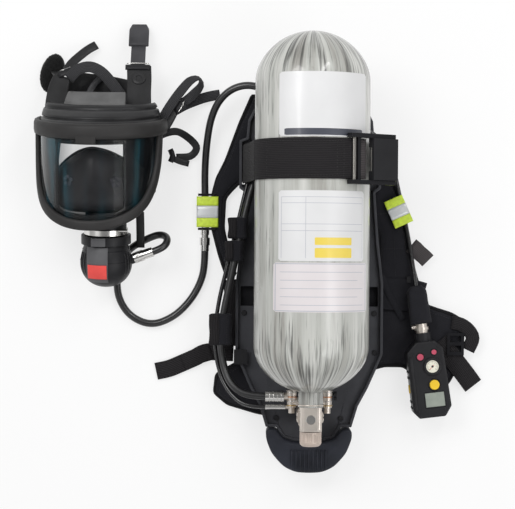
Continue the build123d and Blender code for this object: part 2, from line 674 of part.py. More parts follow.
def gauge_housing():
    """Rubber-armoured housing with a neck towards the hose."""
    half = UNIT_W / 2
    y0, y1 = -UNIT_LEN / 2, UNIT_LEN / 2
    shape = [(-half + 8, y0), (half - 10, y0), (half, y0 + 14), (half - 3, y1 - 12),
             (half - 14, y1), (-half + 14, y1), (-half, y1 - 14), (-half, y0 + 10)]
    body = slab(shape, UNIT_Z0, UNIT_FACE, 4)
    body = fillet(body.edges().group_by(Axis.Z)[-1], 2.5)
    body += rod((-1, y1 - 4, UNIT_Z0 + 14), (-1, y1 + 12, UNIT_Z0 + 14), 12)
    inner = slab([(-18, y0 + 8), (18, y0 + 8), (18, y1 - 16), (-18, y1 - 16)],
                 UNIT_Z0 + UNIT_WALL, UNIT_FACE - 6)
    body -= inner
    body -= unit_rod(DIAL_AT, UNIT_FACE - 4, UNIT_FACE + 1, DIAL_R)
    body -= unit_rod(FRONT_BUTTON_AT, UNIT_FACE - 8, UNIT_FACE + 1, BUTTON_R + SLIDE_FIT)
    for x, y, r in LAMP_SPOTS:
        body -= unit_rod((x, y), UNIT_FACE - 4, UNIT_FACE + 1, r)
    lx, ly = LCD_AT
    body -= block(lx - LCD_SIZE[0] / 2, lx + LCD_SIZE[0] / 2, ly - LCD_SIZE[1] / 2,
                  ly + LCD_SIZE[1] / 2, UNIT_FACE - 3, UNIT_FACE + 1)
    body -= side_button_solid(SLIDE_FIT)
    return UNIT_FRAME * body


def side_button_solid(grow):
    """The button in the unit's left wall."""
    y, z = SIDE_BUTTON_AT
    x0 = -UNIT_W / 2 - 1.5 - grow
    return rod((x0, y, z), (x0 + 9 + grow + (BUTTON_TRAVEL if grow else 0), y, z), 6 + grow)


def gauge_dial():
    """Pressure gauge: case, dial and glass as one insert."""
    dial = unit_rod(DIAL_AT, UNIT_FACE - 4, UNIT_FACE + 0.8, DIAL_R)
    return UNIT_FRAME * dial


def gauge_display():
    """Display window of the alarm electronics."""
    lx, ly = LCD_AT
    return UNIT_FRAME * block(lx - LCD_SIZE[0] / 2, lx + LCD_SIZE[0] / 2, ly - LCD_SIZE[1] / 2,
                              ly + LCD_SIZE[1] / 2, UNIT_FACE - 3, UNIT_FACE - 0.4)


def gauge_lamps():
    """Two signal lamps."""
    lamps = [UNIT_FRAME * unit_rod((x, y), UNIT_FACE - 4, UNIT_FACE + 0.6, r)
             for x, y, r in LAMP_SPOTS]
    return Compound(children=lamps)


def front_button():
    button = unit_rod(FRONT_BUTTON_AT, UNIT_FACE - 4, UNIT_FACE + 2.2, BUTTON_R)
    return UNIT_FRAME * fillet(button.edges().group_by(Axis.Z)[-1], 1.2)


def side_button():
    return UNIT_FRAME * side_button_solid(0)


def whistle():
    """Low-pressure warning whistle between the boot and the gauge housing."""
    y0 = UNIT_LEN / 2 + 12
    body = rod((-1, y0, UNIT_Z0 + 14), (-1, y0 + 13, UNIT_Z0 + 14), 8.5)
    body += rod((-1, y0 + 4, UNIT_Z0 + 14), (-1, y0 + 8, UNIT_Z0 + 14), 10)
    body += rod((-8, y0 + 9, UNIT_Z0 + 14), (-15, y0 + 9, UNIT_Z0 + 14), 3)
    return UNIT_FRAME * body


def hose_cover():
    """Fabric boot over the hose's end."""
    y0 = UNIT_LEN / 2 + 25
    start = (UNIT_FRAME * Pos(-1, y0, UNIT_Z0 + 14)).position
    end = Vector(*GAUGE_ROUTE[-1])
    wide = Wire(Plane(origin=start, z_dir=end - start) * Edge.make_circle(13))
    narrow = Wire(Plane(origin=end, z_dir=end - start) * Edge.make_circle(10))
    return Solid.make_loft([wide, narrow]) - whistle() - gauge_hose()


def triangle_ring():
    """Triangular wire ring that hangs on the right shoulder strap."""
    z = PAD_T + SOFT_GAP + RING_WIRE_R
    corners = [(128.5, -46, z), (128.5, -66, z), (139.5, -56, z)]
    path = FilletPolyline(*corners, radius=2.2, close=True)
    ring = sweep(Plane(origin=path @ 0, z_dir=path % 0) * Circle(RING_WIRE_R), path=path)
    return ring


# ================================================================ demand valve
VALVE_FRAME = Location(DV_AT, (DV_PITCH, 0, 0))
SWIVEL_FRAME = VALVE_FRAME * Location((DV_R - 3, -46.0, 0), (0, 0, 20.0))
SWIVEL_START = 6.5
SWIVEL_END = SWIVEL_START + SWIVEL_LEN
DV_PROFILE = [(31, -CLAMP_W - 1.5 - COLLAR_W), (33, -30), (36.5, -46), (34.5, -62), (25, -76), (12, -83)]
RED_AT = (-10.0, -58.0)
LATCH_AT = (-8.0, -16.0)


def dv_revolved(inset):
    """The demand valve's round body, about the port's axis."""
    pts = [(r - inset, y + (inset if i > 3 else 0)) for i, (r, y) in enumerate(DV_PROFILE)]
    curve = Spline(*pts, (0, pts[-1][1] - 1.5), tangents=[(0.1, -1), (-1, 0)])
    start = Line((0, pts[0][1]), pts[0])
    axis = Line((0, pts[0][1]), (0, pts[-1][1] - 1.5))
    return revolve(make_face([curve, start, axis]), Axis.Y)


def panel_block(grow, z1):
    x, y = RED_AT
    return block(x - 15 - grow, x + 15 + grow, y - 16 - grow, -24 + grow, 20, z1)


def demand_valve_body():
    """Round housing of the demand valve."""
    body = dv_revolved(0) - dv_revolved(DV_WALL)
    body -= panel_block(0, 60)
    boss = SWIVEL_FRAME * rod((0, 0, 0), (SWIVEL_START, 0, 0), SWIVEL_R - 1)
    return VALVE_FRAME * body + (boss - VALVE_FRAME * dv_revolved(DV_WALL))


def demand_valve_panel():
    """Front strip of the demand valve, with the well of the red button."""
    x, y = RED_AT
    panel = (dv_revolved(-1.2) - dv_revolved(DV_WALL)) & panel_block(0, 60)
    panel -= block(x - RED_W / 2 - SLIDE_FIT, x + RED_W / 2 + SLIDE_FIT,
                   y - RED_L / 2 - SLIDE_FIT, y + RED_L / 2 + SLIDE_FIT, 0, 60)
    return VALVE_FRAME * panel


def red_button():
    """Push button that switches the valve off."""
    x, y = RED_AT
    button = (dv_revolved(-2.6) - dv_revolved(8.5)) & \
        block(x - RED_W / 2, x + RED_W / 2, y - RED_L / 2, y + RED_L / 2, 24, 60)
    return VALVE_FRAME * button


def demand_diaphragm():
    """Sensing diaphragm across the valve's inside."""
    disc = rod((0, -29.5, 0), (0, -31, 0), DV_PROFILE[1][0] - DV_WALL - 0.5)
    return VALVE_FRAME * (disc + rod((0, -31, 0), (0, -34, 0), 9))


def valve_collar():
    """Plug-in collar that joins the demand valve to the mask's port."""
    ring = tube((0, -CLAMP_W - 1.5, 0), (0, -CLAMP_W - 1.5 - COLLAR_W, 0), COLLAR_R, 22)
    ring = chamfer(ring.edges().filter_by(GeomType.CIRCLE).sort_by(Axis.Y)[-1], 1)
    x = LATCH_AT[0]
    return VALVE_FRAME * (ring - block(x - 10 - SLIDE_FIT, x + 10 + SLIDE_FIT, -30, 0, 26, 60))


def latch_tab():
    """Sprung latch in the collar."""
    x = LATCH_AT[0]
    tab = block(x - 10, x + 10, -21.5, -CLAMP_W - 2, 29.2, COLLAR_R + 2)
    return VALVE_FRAME * tab


def swivel_nut():
    """Swivelling nut of the hose joint."""
    nut = rod((SWIVEL_START, 0, 0), (SWIVEL_END, 0, 0), SWIVEL_R)
    for y, z in polar_points(6, SWIVEL_R + 1.6):
        nut -= rod((SWIVEL_START + 4, y, z), (SWIVEL_END - 4, y, z), 2.4)
    return SWIVEL_FRAME * nut


# ================================================================ mask
MASK_FRAME = Location(MASK_AT, (MASK_PITCH, MASK_YAW, 0))


def oval(a, b, y0, y1):
    """An upright oval column about the mask's local Y axis."""
    plane = Plane(origin=(0, y0, VISOR_CZ), x_dir=(1, 0, 0), z_dir=(0, 1, 0))
    return extrude(plane * Ellipse(a, b), amount=y1 - y0)


def column(half, z0, z1, grow=0.0):
    """A column of a half outline, grown or shrunk."""
    face = outline(mirrored(half))
    if grow:
        face = offset(face, amount=grow)
    return Pos(0, 0, z0) * extrude(face, amount=z1 - z0)


def oval_shell(inset, t, y0=-80, y1=150):
    outer = oval(VISOR_A - inset, VISOR_B - inset, y0, y1)
    return outer - oval(VISOR_A - inset - t, VISOR_B - inset - t, y0, y1)


def visor():
    """Curved clear visor."""
    return MASK_FRAME * (oval_shell(0, VISOR_T) & column(WINDOW_HALF, 24, 130, 3.5))


def visor_frame():
    """Moulded frame that clamps the visor to the face blank."""
    ring = oval_shell(-FRAME_T - 0.1, FRAME_T) & column(FRAME_HALF, 24, 130)
    ring -= column(WINDOW_HALF, 0, 130)
    tab = oval_shell(-FRAME_T - 0.1, FRAME_T) & block(-13, 13, 68, 73, 60, 130)
    return MASK_FRAME * (ring + tab)


def forehead_wedge(drop):
    """Keeps what lies under the sloping forehead."""
    points = [(-60, -200), (140, -200), (140, 12 - drop), (96, 92 - drop), (-60, 92 - drop + 60)]
    plane = Plane(origin=(-120, 0, 0), x_dir=(0, 1, 0), z_dir=(1, 0, 0))
    return extrude(plane * outline(points), amount=240)


def face_blank():
    """Rubber face piece: forehead, cheeks and chin in one skin, open towards the head."""
    inset = VISOR_T + 0.1
    outer = column(BLANK_HALF, -60, 130) & oval(VISOR_A - inset, VISOR_B - inset, -80, 150)
    outer = outer & forehead_wedge(0)
    inner = column(BLANK_HALF, -70, 130, -BLANK_T)
    inner = inner & oval(VISOR_A - inset - BLANK_T, VISOR_B - inset - BLANK_T, -80, 150)
    inner = inner & forehead_wedge(BLANK_T)
    skin = MASK_FRAME * (outer - inner - column(WINDOW_HALF, 0, 140, -3))
    skin -= block(-500, 0, -200, 400, -100, 0.6)
    return skin - port_rod(PORT_R, 40)


def port_rod(r, depth):
    return VALVE_FRAME * rod((0, depth, 0), (0, -CLAMP_W - 1, 0), r)


def nose_cup():
    """Inner half mask over nose and mouth."""
    top = 12
    outer = column(CUP_HALF, 10, 130) & oval(VISOR_A - top, VISOR_B - top, -80, 150)
    inner = column(CUP_HALF, 0, 130, -CUP_T)
    inner = inner & oval(VISOR_A - top - CUP_T, VISOR_B - top - CUP_T, -80, 150)
    cup = MASK_FRAME * (outer - inner)
    cup -= block(-500, 0, -200, 400, -100, 0.6)
    cup -= port_rod(PORT_R, 40)
    for x in CUP_VALVE_X:
        cup -= MASK_FRAME * cup_valve_rod(x, CUP_VALVE_R)
    return cup


CUP_VALVE_X = (-34.0, 34.0)
CUP_VALVE_Y = 18.0
CUP_VALVE_R = 11.0


def cup_valve_rod(x, r):
    return rod((x, CUP_VALVE_Y, 30), (x, CUP_VALVE_Y, 120), r)


def inhale_discs():
    """Rosette valve discs in the nose cup's cheeks."""
    shell = oval(VISOR_A - 12, VISOR_B - 12, -80, 150) - oval(VISOR_A - 14, VISOR_B - 14, -80, 150)
    discs = []
    for x in CUP_VALVE_X:
        disc = (shell & cup_valve_rod(x, CUP_VALVE_R)) & block(-80, 80, 0, 60, 30, 130)
        discs.append(MASK_FRAME * disc)
    return Compound(children=discs)


def mask_port():
    """Threaded port in the chin that takes the demand valve."""
    port = port_rod(PORT_R, PORT_DEPTH) - VALVE_FRAME * rod((0, 60, 0), (0, -30, 0), PORT_R - PORT_WALL)
    return port


def clamp_ring():
    """Steel clamp around the port."""
    ring = VALVE_FRAME * tube((0, -0.5, 0), (0, -CLAMP_W, 0), CLAMP_R, PORT_R)
    return ring


def harness_straps():
    """Rubber head straps: two lugs, top straps, temple straps and the neck strap."""
    parts = []
    parts.append(ribbon([(-243, 214, 62), (-243, 240, 52), (-244, 264, 42)], (1, 0, 0), 34, 3.5))
    parts.append(ribbon([(-246, 264.8, 41.6), (-246, 292, 26), (-246, 312, 12), (-246, 330, 4)],
                        (1, 0, 0), 21, STRAP_T))
    parts.append(ribbon([(-350, 214, 58), (-352, 232, 48), (-353, 250, 40)], (1, 0, 0), 25, 3.5))
    parts.append(ribbon([(-347.5, 258.5, 36.6), (-330, 282, 18), (-310, 300, 6)], (0.8, -0.6, 0), 13,
                        STRAP_T))
    parts.append(ribbon([(-217, 168, 38), (-203, 186, 34), (-190, 206, 28), (-176, 214, 18), (-158, 222, 10),
                         (-130, 229, 5)],
                        [(0, 0.3, 1), (0, 0.3, 1), (0.6, -0.4, 0.8), (0.5, -0.7, 0.6), (0, 1, 0.3), (0, 1, 0)],
                        14, STRAP_T))
    parts.append(ribbon([(-219, 163, 52), (-188, 173, 30), (-170, 162, 16), (-163, 151, 9),
                         (-172, 140, 6), (-192, 138, 8)],
                        [(0, 1, 0), (0, 1, 0), (0.8, 0.8, 0), (1, 0, 0), (0.5, -0.9, 0),
                         (0, -1, 0)], 11, STRAP_T))
    parts.append(ribbon([(-359, 251.2, 37.7), (-364, 256, 25), (-366, 259, 12)], (1, 0, 0), 12,
                        STRAP_T))
    parts.append(ribbon([(-241, 58, 46), (-241, 40, 38), (-241, 22, 32), (-241, 8, 30)],
                        (1, 0, 0), 10, STRAP_T))
    skin = face_blank()
    return Compound(children=[p - skin for p in parts])


def harness_buckles():
    """Buckles and keepers of the head straps."""
    top = Pos(-245, 264, 46.3) * Rot(-30, 0, 0) * Box(33, 8, 3)
    keeper = Pos(-246, 313, 16) * Rot(-35, 0, 0) * Box(30, 40, 3)
    left = Pos(-350, 254, 40.5) * Rot(-25, 0, 10) * Box(18, 9, 3)
    side = Pos(-196, 140, 12.6) * Box(9, 20, 6)
    temple = Pos(-186, 208, 29) * Rot(0, 0, -30) * Box(15, 18, 4)
    straps = harness_straps()
    return Compound(children=[b - straps for b in (top, keeper, left, side, temple)])


def head_pad():
    """Soft oval pad of the head harness."""
    pad = Pos(-368, 258, 0.6) * Rot(0, 0, -15) * extrude(Ellipse(15, 27), amount=12)
    return pad - harness_straps()


# ================================================================ build
NODES = {
    "backplate": backplate, "bumper": bumper, "back_pad": back_pad, "hip_pads": hip_pads,
    "saddle_pads": saddle_pads, "plate_rivets": plate_rivets,
    "cylinder_liner": cylinder_liner, "cylinder_wrap": cylinder_wrap,
    "valve_body": valve_body, "valve_spindle": valve_spindle, "valve_knob": valve_knob,
    "reducer_body": reducer_body, "reducer_piston": reducer_piston, "coupling_nut": coupling_nut,
    "safety_valve": safety_valve, "hose_ferrules": hose_ferrules,
    "supply_hose": supply_hose, "gauge_hose": gauge_hose, "mask_hose": mask_hose,
    "hose_sleeves": hose_sleeves, "coupler_body": coupler_body, "coupler_collar": coupler_collar,
    "band_strap": band_strap, "band_tail": band_tail, "buckle_frame": buckle_frame,
    "buckle_pins": buckle_pins, "band_lever": band_lever,
    "shoulder_pads": shoulder_pads, "shoulder_straps": shoulder_straps,
    "strap_clips": strap_clips, "reflective_patches": reflective_patches,
    "triangle_ring": triangle_ring, "belt_left": belt_left, "belt_right": belt_right,
    "belt_buckle": belt_buckle,
    "gauge_housing": gauge_housing, "gauge_dial": gauge_dial, "gauge_display": gauge_display,
    "gauge_lamps": gauge_lamps, "front_button": front_button, "side_button": side_button,
    "whistle": whistle, "hose_cover": hose_cover,
    "demand_valve_body": demand_valve_body, "demand_valve_panel": demand_valve_panel,
    "demand_diaphragm": demand_diaphragm, "valve_collar": valve_collar, "latch_tab": latch_tab,
    "red_button": red_button, "swivel_nut": swivel_nut,
    "face_blank": face_blank, "visor": visor, "visor_frame": visor_frame, "nose_cup": nose_cup,
    "inhale_discs": inhale_discs, "mask_port": mask_port, "clamp_ring": clamp_ring,
    "harness_straps": harness_straps, "harness_buckles": harness_buckles, "head_pad": head_pad,
}

os.makedirs("parts", exist_ok=True)
for name, make in NODES.items():
    export_step(make(), f"parts/{name}.step")
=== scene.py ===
import bpy
import bmesh
import json
import math
from mathutils import Matrix, Vector, noise

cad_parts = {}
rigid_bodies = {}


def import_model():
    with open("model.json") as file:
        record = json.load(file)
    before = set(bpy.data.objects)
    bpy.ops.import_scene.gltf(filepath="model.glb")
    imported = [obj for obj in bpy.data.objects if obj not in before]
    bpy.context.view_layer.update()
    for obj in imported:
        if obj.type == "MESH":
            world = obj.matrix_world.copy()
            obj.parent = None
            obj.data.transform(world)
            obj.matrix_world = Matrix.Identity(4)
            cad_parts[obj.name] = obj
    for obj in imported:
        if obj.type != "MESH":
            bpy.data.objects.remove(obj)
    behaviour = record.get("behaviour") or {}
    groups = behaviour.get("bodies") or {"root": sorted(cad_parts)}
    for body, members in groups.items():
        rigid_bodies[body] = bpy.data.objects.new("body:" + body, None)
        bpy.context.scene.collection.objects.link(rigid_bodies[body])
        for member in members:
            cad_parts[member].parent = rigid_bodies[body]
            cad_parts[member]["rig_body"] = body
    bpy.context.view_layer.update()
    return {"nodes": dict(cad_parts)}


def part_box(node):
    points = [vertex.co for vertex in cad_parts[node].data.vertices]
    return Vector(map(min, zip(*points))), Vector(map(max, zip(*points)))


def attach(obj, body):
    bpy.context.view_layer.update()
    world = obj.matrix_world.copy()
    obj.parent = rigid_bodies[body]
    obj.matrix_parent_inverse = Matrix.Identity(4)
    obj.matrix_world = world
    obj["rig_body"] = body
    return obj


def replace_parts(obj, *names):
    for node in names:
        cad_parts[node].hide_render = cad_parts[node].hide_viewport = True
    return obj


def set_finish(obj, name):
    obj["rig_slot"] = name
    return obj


# The air pack's visual model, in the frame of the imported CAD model. Blender's lengths are metres;
# points and sizes are given in millimetres where a function says so.
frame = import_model()
nodes = frame["nodes"]
scene = bpy.context.scene
MM = 0.001
CYL = 79.0  # outer radius of the cylinder, mm
AXIS_Z = 125.0  # height of the cylinder's axis, mm


# ================================================================ camera and hose routes
def mm(*p):
    return Vector(p) * MM


camera = bpy.data.objects.new("camera", bpy.data.cameras.new("camera"))
scene.collection.objects.link(camera)
camera.location = (-0.0743, -0.0007, 2.5)
camera.rotation_euler = (0, 0, math.radians(0.4))
camera.data.lens = 121.2
camera.data.sensor_width = 36
camera.data.clip_start = 0.1
scene.camera = camera

SUPPLY_ROUTE = [(-62, -199.5, 66), (-88, -199.5, 66), (-110, -185, 61), (-121, -160, 54),
    (-126, -130, 50), (-124, -95, 48), (-114, -45, 48), (-102, 10, 48), (-92, 60, 48), (-80, 105, 48),
    (-63, 142, 47), (-49, 172, 46), (-47, 203, 45), (-59, 228, 45), (-82, 240, 44), (-108, 237, 40),
    (-129, 221, 34), (-142, 195, 26), (-148, 160, 17), (-151, 118, 10), (-150, 76, 8), (-150, 38, 8)]
GAUGE_ROUTE = [(-62, -214.5, 66), (-88, -214.5, 66), (-110, -199, 57), (-125, -174, 48),
    (-133, -142, 43), (-134, -105, 40), (-128, -62, 38), (-117, -18, 37), (-107, 25, 36),
    (-97, 68, 35.5), (-87, 110, 35), (-76, 150, 34), (-57, 181, 33), (-26, 199, 32), (10, 203, 32),
    (44, 196, 32), (70, 183, 35), (93, 170, 38), (110, 150, 34), (120, 122, 24), (127, 92, 17.5),
    (135, 58, 16), (142, 22, 18), (147.2, -9.5, 20.5), (152, -44, 26)]
MASK_ROUTE = [(-150, 4, 8), (-150, -20, 8), (-157, -45, 6), (-172, -70, 6), (-195, -92, 6),
    (-226, -104, 6), (-256, -92, 6), (-273, -68, 6), (-277, -40, 6), (-272, -12, 6.5), (-259, 5, 10),
    (-244, 15, 17), (-228, 22.4, 24.5), (-215, 27, 25.3), (-204, 24.5, 33.6), (-201.7, 16.1, 44.6),
    (-208.9, 7.0, 51.9), (-222.08, 2.32, 51.06)]


# ================================================================ materials
WAVE_PERIOD = 0.314159  # distance between the bands of a wave texture at scale 1


def is_socket(value):
    return hasattr(value, "is_linked")


def set_stops(node, stops):
    """The stops of a colour ramp, as (position, colour)."""
    for i, (at, color) in enumerate(stops):
        e = node.color_ramp.elements[i] if i < 2 else node.color_ramp.elements.new(at)
        e.position = at
        e.color = (*color, 1)


class Look:
    """A procedural material, built up from layers of noise and weave."""

    def __init__(self, name, color, rough, metal=0.0, **sockets):
        self.mat = bpy.data.materials.new(name)
        self.mat.use_nodes = True
        self.tree = self.mat.node_tree
        self.bsdf = self.tree.nodes["Principled BSDF"]
        self.bsdf.inputs["Base Color"].default_value = (*color, 1)
        self.bsdf.inputs["Roughness"].default_value = rough
        self.bsdf.inputs["Metallic"].default_value = metal
        for key, value in sockets.items():
            self.bsdf.inputs[key.replace("_", " ")].default_value = value
        self.color = color
        self.height = None
        self.coords = self.node("ShaderNodeTexCoord")

    def feed(self, socket, value):
        """Puts a value or another node's output into an input."""
        if is_socket(value):
            self.tree.links.new(value, socket)
        else:
            socket.default_value = value

    def node(self, kind, inputs=(), **settings):
        n = self.tree.nodes.new(kind)
        for key, value in settings.items():
            setattr(n, key, value)
        for key, value in dict(inputs).items():
            self.feed(n.inputs[key], value)
        return n

    def place(self, scale, kind="Object", turn=(0, 0, 0)):
        """The surface's coordinates, scaled and turned."""
        scale = scale if hasattr(scale, "__len__") else (scale,) * 3
        source = self.coords.outputs[kind]
        return self.node("ShaderNodeMapping", {"Scale": scale, "Rotation": turn,
            "Vector": source}).outputs["Vector"]

    def noise(self, scale, detail=3.0):
        return self.node("ShaderNodeTexNoise", {"Scale": 1.0, "Detail": detail, "Distortion": 0.0,
            "Vector": self.place(scale)}).outputs["Fac"]

    def wave(self, period, axis, kind="Object", turn=(0, 0, 0), distortion=0.0):
        """Bands across an axis, one for each period in metres."""
        inputs = {"Scale": 1.0, "Distortion": distortion, "Vector": self.place(WAVE_PERIOD / period,
            kind, turn)}
        return self.node("ShaderNodeTexWave", inputs, wave_type="BANDS",
            bands_direction=axis).outputs["Fac"]

    def ramp(self, value, stops):
        r = self.node("ShaderNodeValToRGB", {"Fac": value})
        set_stops(r, stops)
        return r.outputs["Color"]

    def mix(self, value, a, b):
        """A and B are colours or sockets."""
        a, b = (c if is_socket(c) else (*c, 1) for c in (a, b))
        return self.node("ShaderNodeMix", {0: value, 6: a, 7: b}, data_type="RGBA").outputs[2]

    def math(self, kind, a, b):
        return self.node("ShaderNodeMath", {0: a, 1: b}, operation=kind).outputs[0]

    def paint(self, color):
        self.feed(self.bsdf.inputs["Base Color"], color)
        return self

    def vary(self, scale, amount, detail=3.0):
        """Uneven colour, lighter and darker by amount."""
        dark = tuple(c * (1 - amount) for c in self.color)
        light = tuple(min(c * (1 + amount), 1) for c in self.color)
        return self.paint(self.ramp(self.noise(scale, detail), [(0.3, dark), (0.7, light)]))

    def uneven(self, scale, low, high):
        """Roughness that changes over the surface."""
        r = self.node("ShaderNodeMapRange", {"To Min": low, "To Max": high, "Value": self.noise(scale)})
        self.feed(self.bsdf.inputs["Roughness"], r.outputs[0])
        return self

    def bump(self, value, depth):
        """Relief of that depth in metres, added on top of what is there."""
        b = self.node("ShaderNodeBump", {"Distance": depth, "Strength": 1.0, "Height": value})
        if self.height is not None:
            self.feed(b.inputs["Normal"], self.height)
        self.height = b.outputs["Normal"]
        self.feed(self.bsdf.inputs["Normal"], self.height)
        return self


def plastic(name, color, rough=0.45, grain=0.00004, scale=1400, vary=0.12):
    look = Look(name, color, rough, Specular_IOR_Level=0.22)
    look.vary(35, vary).uneven(90, rough - 0.07, rough + 0.1)
    return look.bump(look.noise(scale, 4), grain).mat


def rubber(name, color=(0.018, 0.018, 0.02), rough=0.55, scale=900, grain=0.00003):
    look = Look(name, color, rough, Specular_IOR_Level=0.2)
    look.vary(28, 0.3).uneven(60, rough - 0.12, rough + 0.12)
    return look.bump(look.noise(scale, 3), grain).mat


def metal(name, color, rough=0.25, brush=None, grain=0.0, vary=0.08, metallic=1.0):
    look = Look(name, color, rough, metallic)
    look.vary(55, vary).uneven(brush or 120, rough * 0.7, rough * 1.4)
    if grain:
        look.bump(look.noise(900, 4), grain)
    return look.mat


def woven(name, color, pitch=0.0011):
    """Plain-weave fabric with painted sheen on its raised threads, worn a little lighter in places."""
    look = Look(name, color, 0.85, Sheen_Weight=0.06, Sheen_Roughness=0.5, Specular_IOR_Level=0.08)
    a = look.wave(pitch, "X", turn=(0, 0, 0.5))
    b = look.wave(pitch, "Y", turn=(0, 0, 0.5))
    cloth = look.math("MULTIPLY", a, b)
    # Painted sheen: the raised threads of the weave pattern are coloured paler, a painted highlight.
    pale = tuple(min(c * 2.1 + 0.008, 1) for c in color)
    worn = look.mix(look.noise(45, 4), color, tuple(c * 1.5 + 0.003 for c in color))
    look.paint(look.mix(cloth, worn, pale))
    look.bump(cloth, 0.00016)
    return look.bump(look.noise(70, 3), 0.0006).mat


def webbing(name, color, rib=0.0024):
    """Woven strap, ribbed along its length, with painted sheen on its ribs and painted shade between its
    threads; its UVs are metres along and across.
    """
    look = Look(name, color, 0.75, Sheen_Weight=0.05, Specular_IOR_Level=0.1)
    across = look.wave(rib, "Y", "UV")
    along = look.wave(0.0013, "X", "UV", distortion=0.6)
    # Painted sheen: the ribs are coloured paler, a painted highlight on the rib pattern.
    pale = tuple(min(c * 2.0 + 0.006, 1) for c in color)
    base = look.mix(across, color, pale)
    # Painted shade: darker bands between the crossing threads.
    look.paint(look.mix(look.math("MULTIPLY", along, 0.35), base, tuple(c * 0.4 for c in color)))
    look.bump(along, 0.0001)
    return look.bump(across, 0.0003).mat


BLACK_PLASTIC = plastic("black_plastic", (0.016, 0.016, 0.018), 0.4)
PLATE = plastic("plate_plastic", (0.050, 0.051, 0.058), 0.5, 0.00012, 700, 0.18)
GREY_PLASTIC = plastic("grey_plastic", (0.10, 0.10, 0.105), 0.45)
FRAME = plastic("frame_plastic", (0.030, 0.029, 0.029), 0.5, 0.00005, 1200, 0.1)
GLOSS_BLACK = plastic("gloss_black", (0.012, 0.012, 0.014), 0.18, 0.00001)
RUBBER = rubber("black_rubber")
BUMPER = rubber("bumper_rubber", (0.021, 0.023, 0.031), 0.5)
SKIN = rubber("mask_rubber", (0.022, 0.022, 0.023), 0.38)
KEEPER = rubber("keeper_rubber", (0.052, 0.052, 0.056), 0.45)
# Painted highlight: the inner ring's pale grey stands for the sheen on its rubber.
INNER_PAINTED_HIGHLIGHT = rubber("inner_rubber_painted_highlight", (0.105, 0.105, 0.105), 0.45)
CUP = rubber("cup_rubber", (0.035, 0.035, 0.038), 0.35)
ROSETTE = rubber("rosette_rubber", (0.085, 0.085, 0.10), 0.4)
FABRIC = woven("pad_fabric", (0.0105, 0.0105, 0.0130))
LINING = woven("lining_fabric", (0.012, 0.012, 0.014), 0.0016)
WEBBING = webbing("black_webbing", (0.0125, 0.0115, 0.0125))
# Painted shade: a darker copy of the black webbing, to hold down the bright top edge of the pad bindings.
BINDING_PAINTED_SHADE = webbing("binding_tape_painted_shade", (0.006, 0.006, 0.007))
GREY_WEBBING = webbing("grey_webbing", (0.050, 0.045, 0.046))
THREAD = plastic("thread", (0.05, 0.05, 0.05), 0.7)
STEEL = metal("polished_steel", (0.72, 0.71, 0.69), 0.18)
DARK_STEEL = metal("dark_steel", (0.28, 0.27, 0.25), 0.3)
NICKEL = metal("satin_nickel", (0.70, 0.64, 0.58), 0.32, (60, 900, 60), 0.00001, 0.08, 0.75)
KNOB = metal("cast_knob", (0.56, 0.47, 0.41), 0.45, None, 0.00009, 0.2, 0.4)
COPPER = metal("copper_washer", (0.72, 0.38, 0.22), 0.3)
BRASS = metal("brass", (0.70, 0.52, 0.26), 0.28)
RED = plastic("red_plastic", (0.76, 0.085, 0.075), 0.32, 0.00002)
PINK = plastic("red_lamp", (0.50, 0.09, 0.14), 0.15, 0.0)
YELLOW = plastic("yellow_plastic", (0.83, 0.55, 0.04), 0.35, 0.00002)
NECK = plastic("neck_finish", (0.40, 0.43, 0.36), 0.4)


def around(look, turns, along, detail):
    """Noise on a cylinder lying along Y: its streaks run along the wall and over the domes."""
    split = look.node("ShaderNodeSeparateXYZ", {0: look.coords.outputs["Object"]}).outputs
    rise = look.math("SUBTRACT", split["Z"], AXIS_Z * MM)
    flat = look.node("ShaderNodeCombineXYZ", {"X": split["X"], "Z": rise}).outputs[0]
    unit = look.node("ShaderNodeVectorMath", {0: flat}, operation="NORMALIZE").outputs["Vector"]
    turned = look.node("ShaderNodeSeparateXYZ", {0: unit}).outputs
    scaled = {"X": look.math("MULTIPLY", turned["X"], turns), "Y": look.math("MULTIPLY", split["Y"],
        along), "Z": look.math("MULTIPLY", turned["Z"], turns)}
    joined = look.node("ShaderNodeCombineXYZ", scaled).outputs[0]
    cloud = look.node("ShaderNodeTexNoise", {"Scale": 1.0, "Detail": detail, "Vector": joined})
    return cloud.outputs["Fac"], split["Y"]


def carbon():
    """Composite wrap: silvery resin over wound fibre, dark streaks running over the domes."""
    look = Look("carbon_wrap", (0.4, 0.41, 0.38), 0.3, 0.0, Coat_Weight=0.6, Coat_Roughness=0.08)
    streak, y = around(look, 21, 14, 4)
    broad, _ = around(look, 5, 3, 3)
    fine, _ = around(look, 75, 30, 3)
    base = look.ramp(broad, [(0.34, (0.25, 0.24, 0.215)), (0.5, (0.42, 0.43, 0.40)),
        (0.66, (0.58, 0.58, 0.55))])
    base = look.mix(look.math("MULTIPLY", fine, 0.45), base, (0.64, 0.64, 0.61))
    far = look.math("ABSOLUTE", look.math("SUBTRACT", y, 0.055), 0.0)
    end = look.node("ShaderNodeMapRange", {"From Min": 0.13, "From Max": 0.215, "Value": far},
        clamp=True)
    edge = look.math("ADD", look.math("MULTIPLY", end.outputs[0], 0.17), -0.06)
    level = look.math("ADD", look.math("ADD", streak, edge),
        look.math("MULTIPLY", look.math("SUBTRACT", fine, 0.5), 0.35))
    soft = look.ramp(level, [(0.54, (0, 0, 0)), (0.74, (0.9, 0.9, 0.9))])
    look.paint(look.mix(soft, base, (0.06, 0.06, 0.055)))
    look.uneven((30, 30, 30), 0.22, 0.4)
    return look.bump(fine, 0.00006).mat


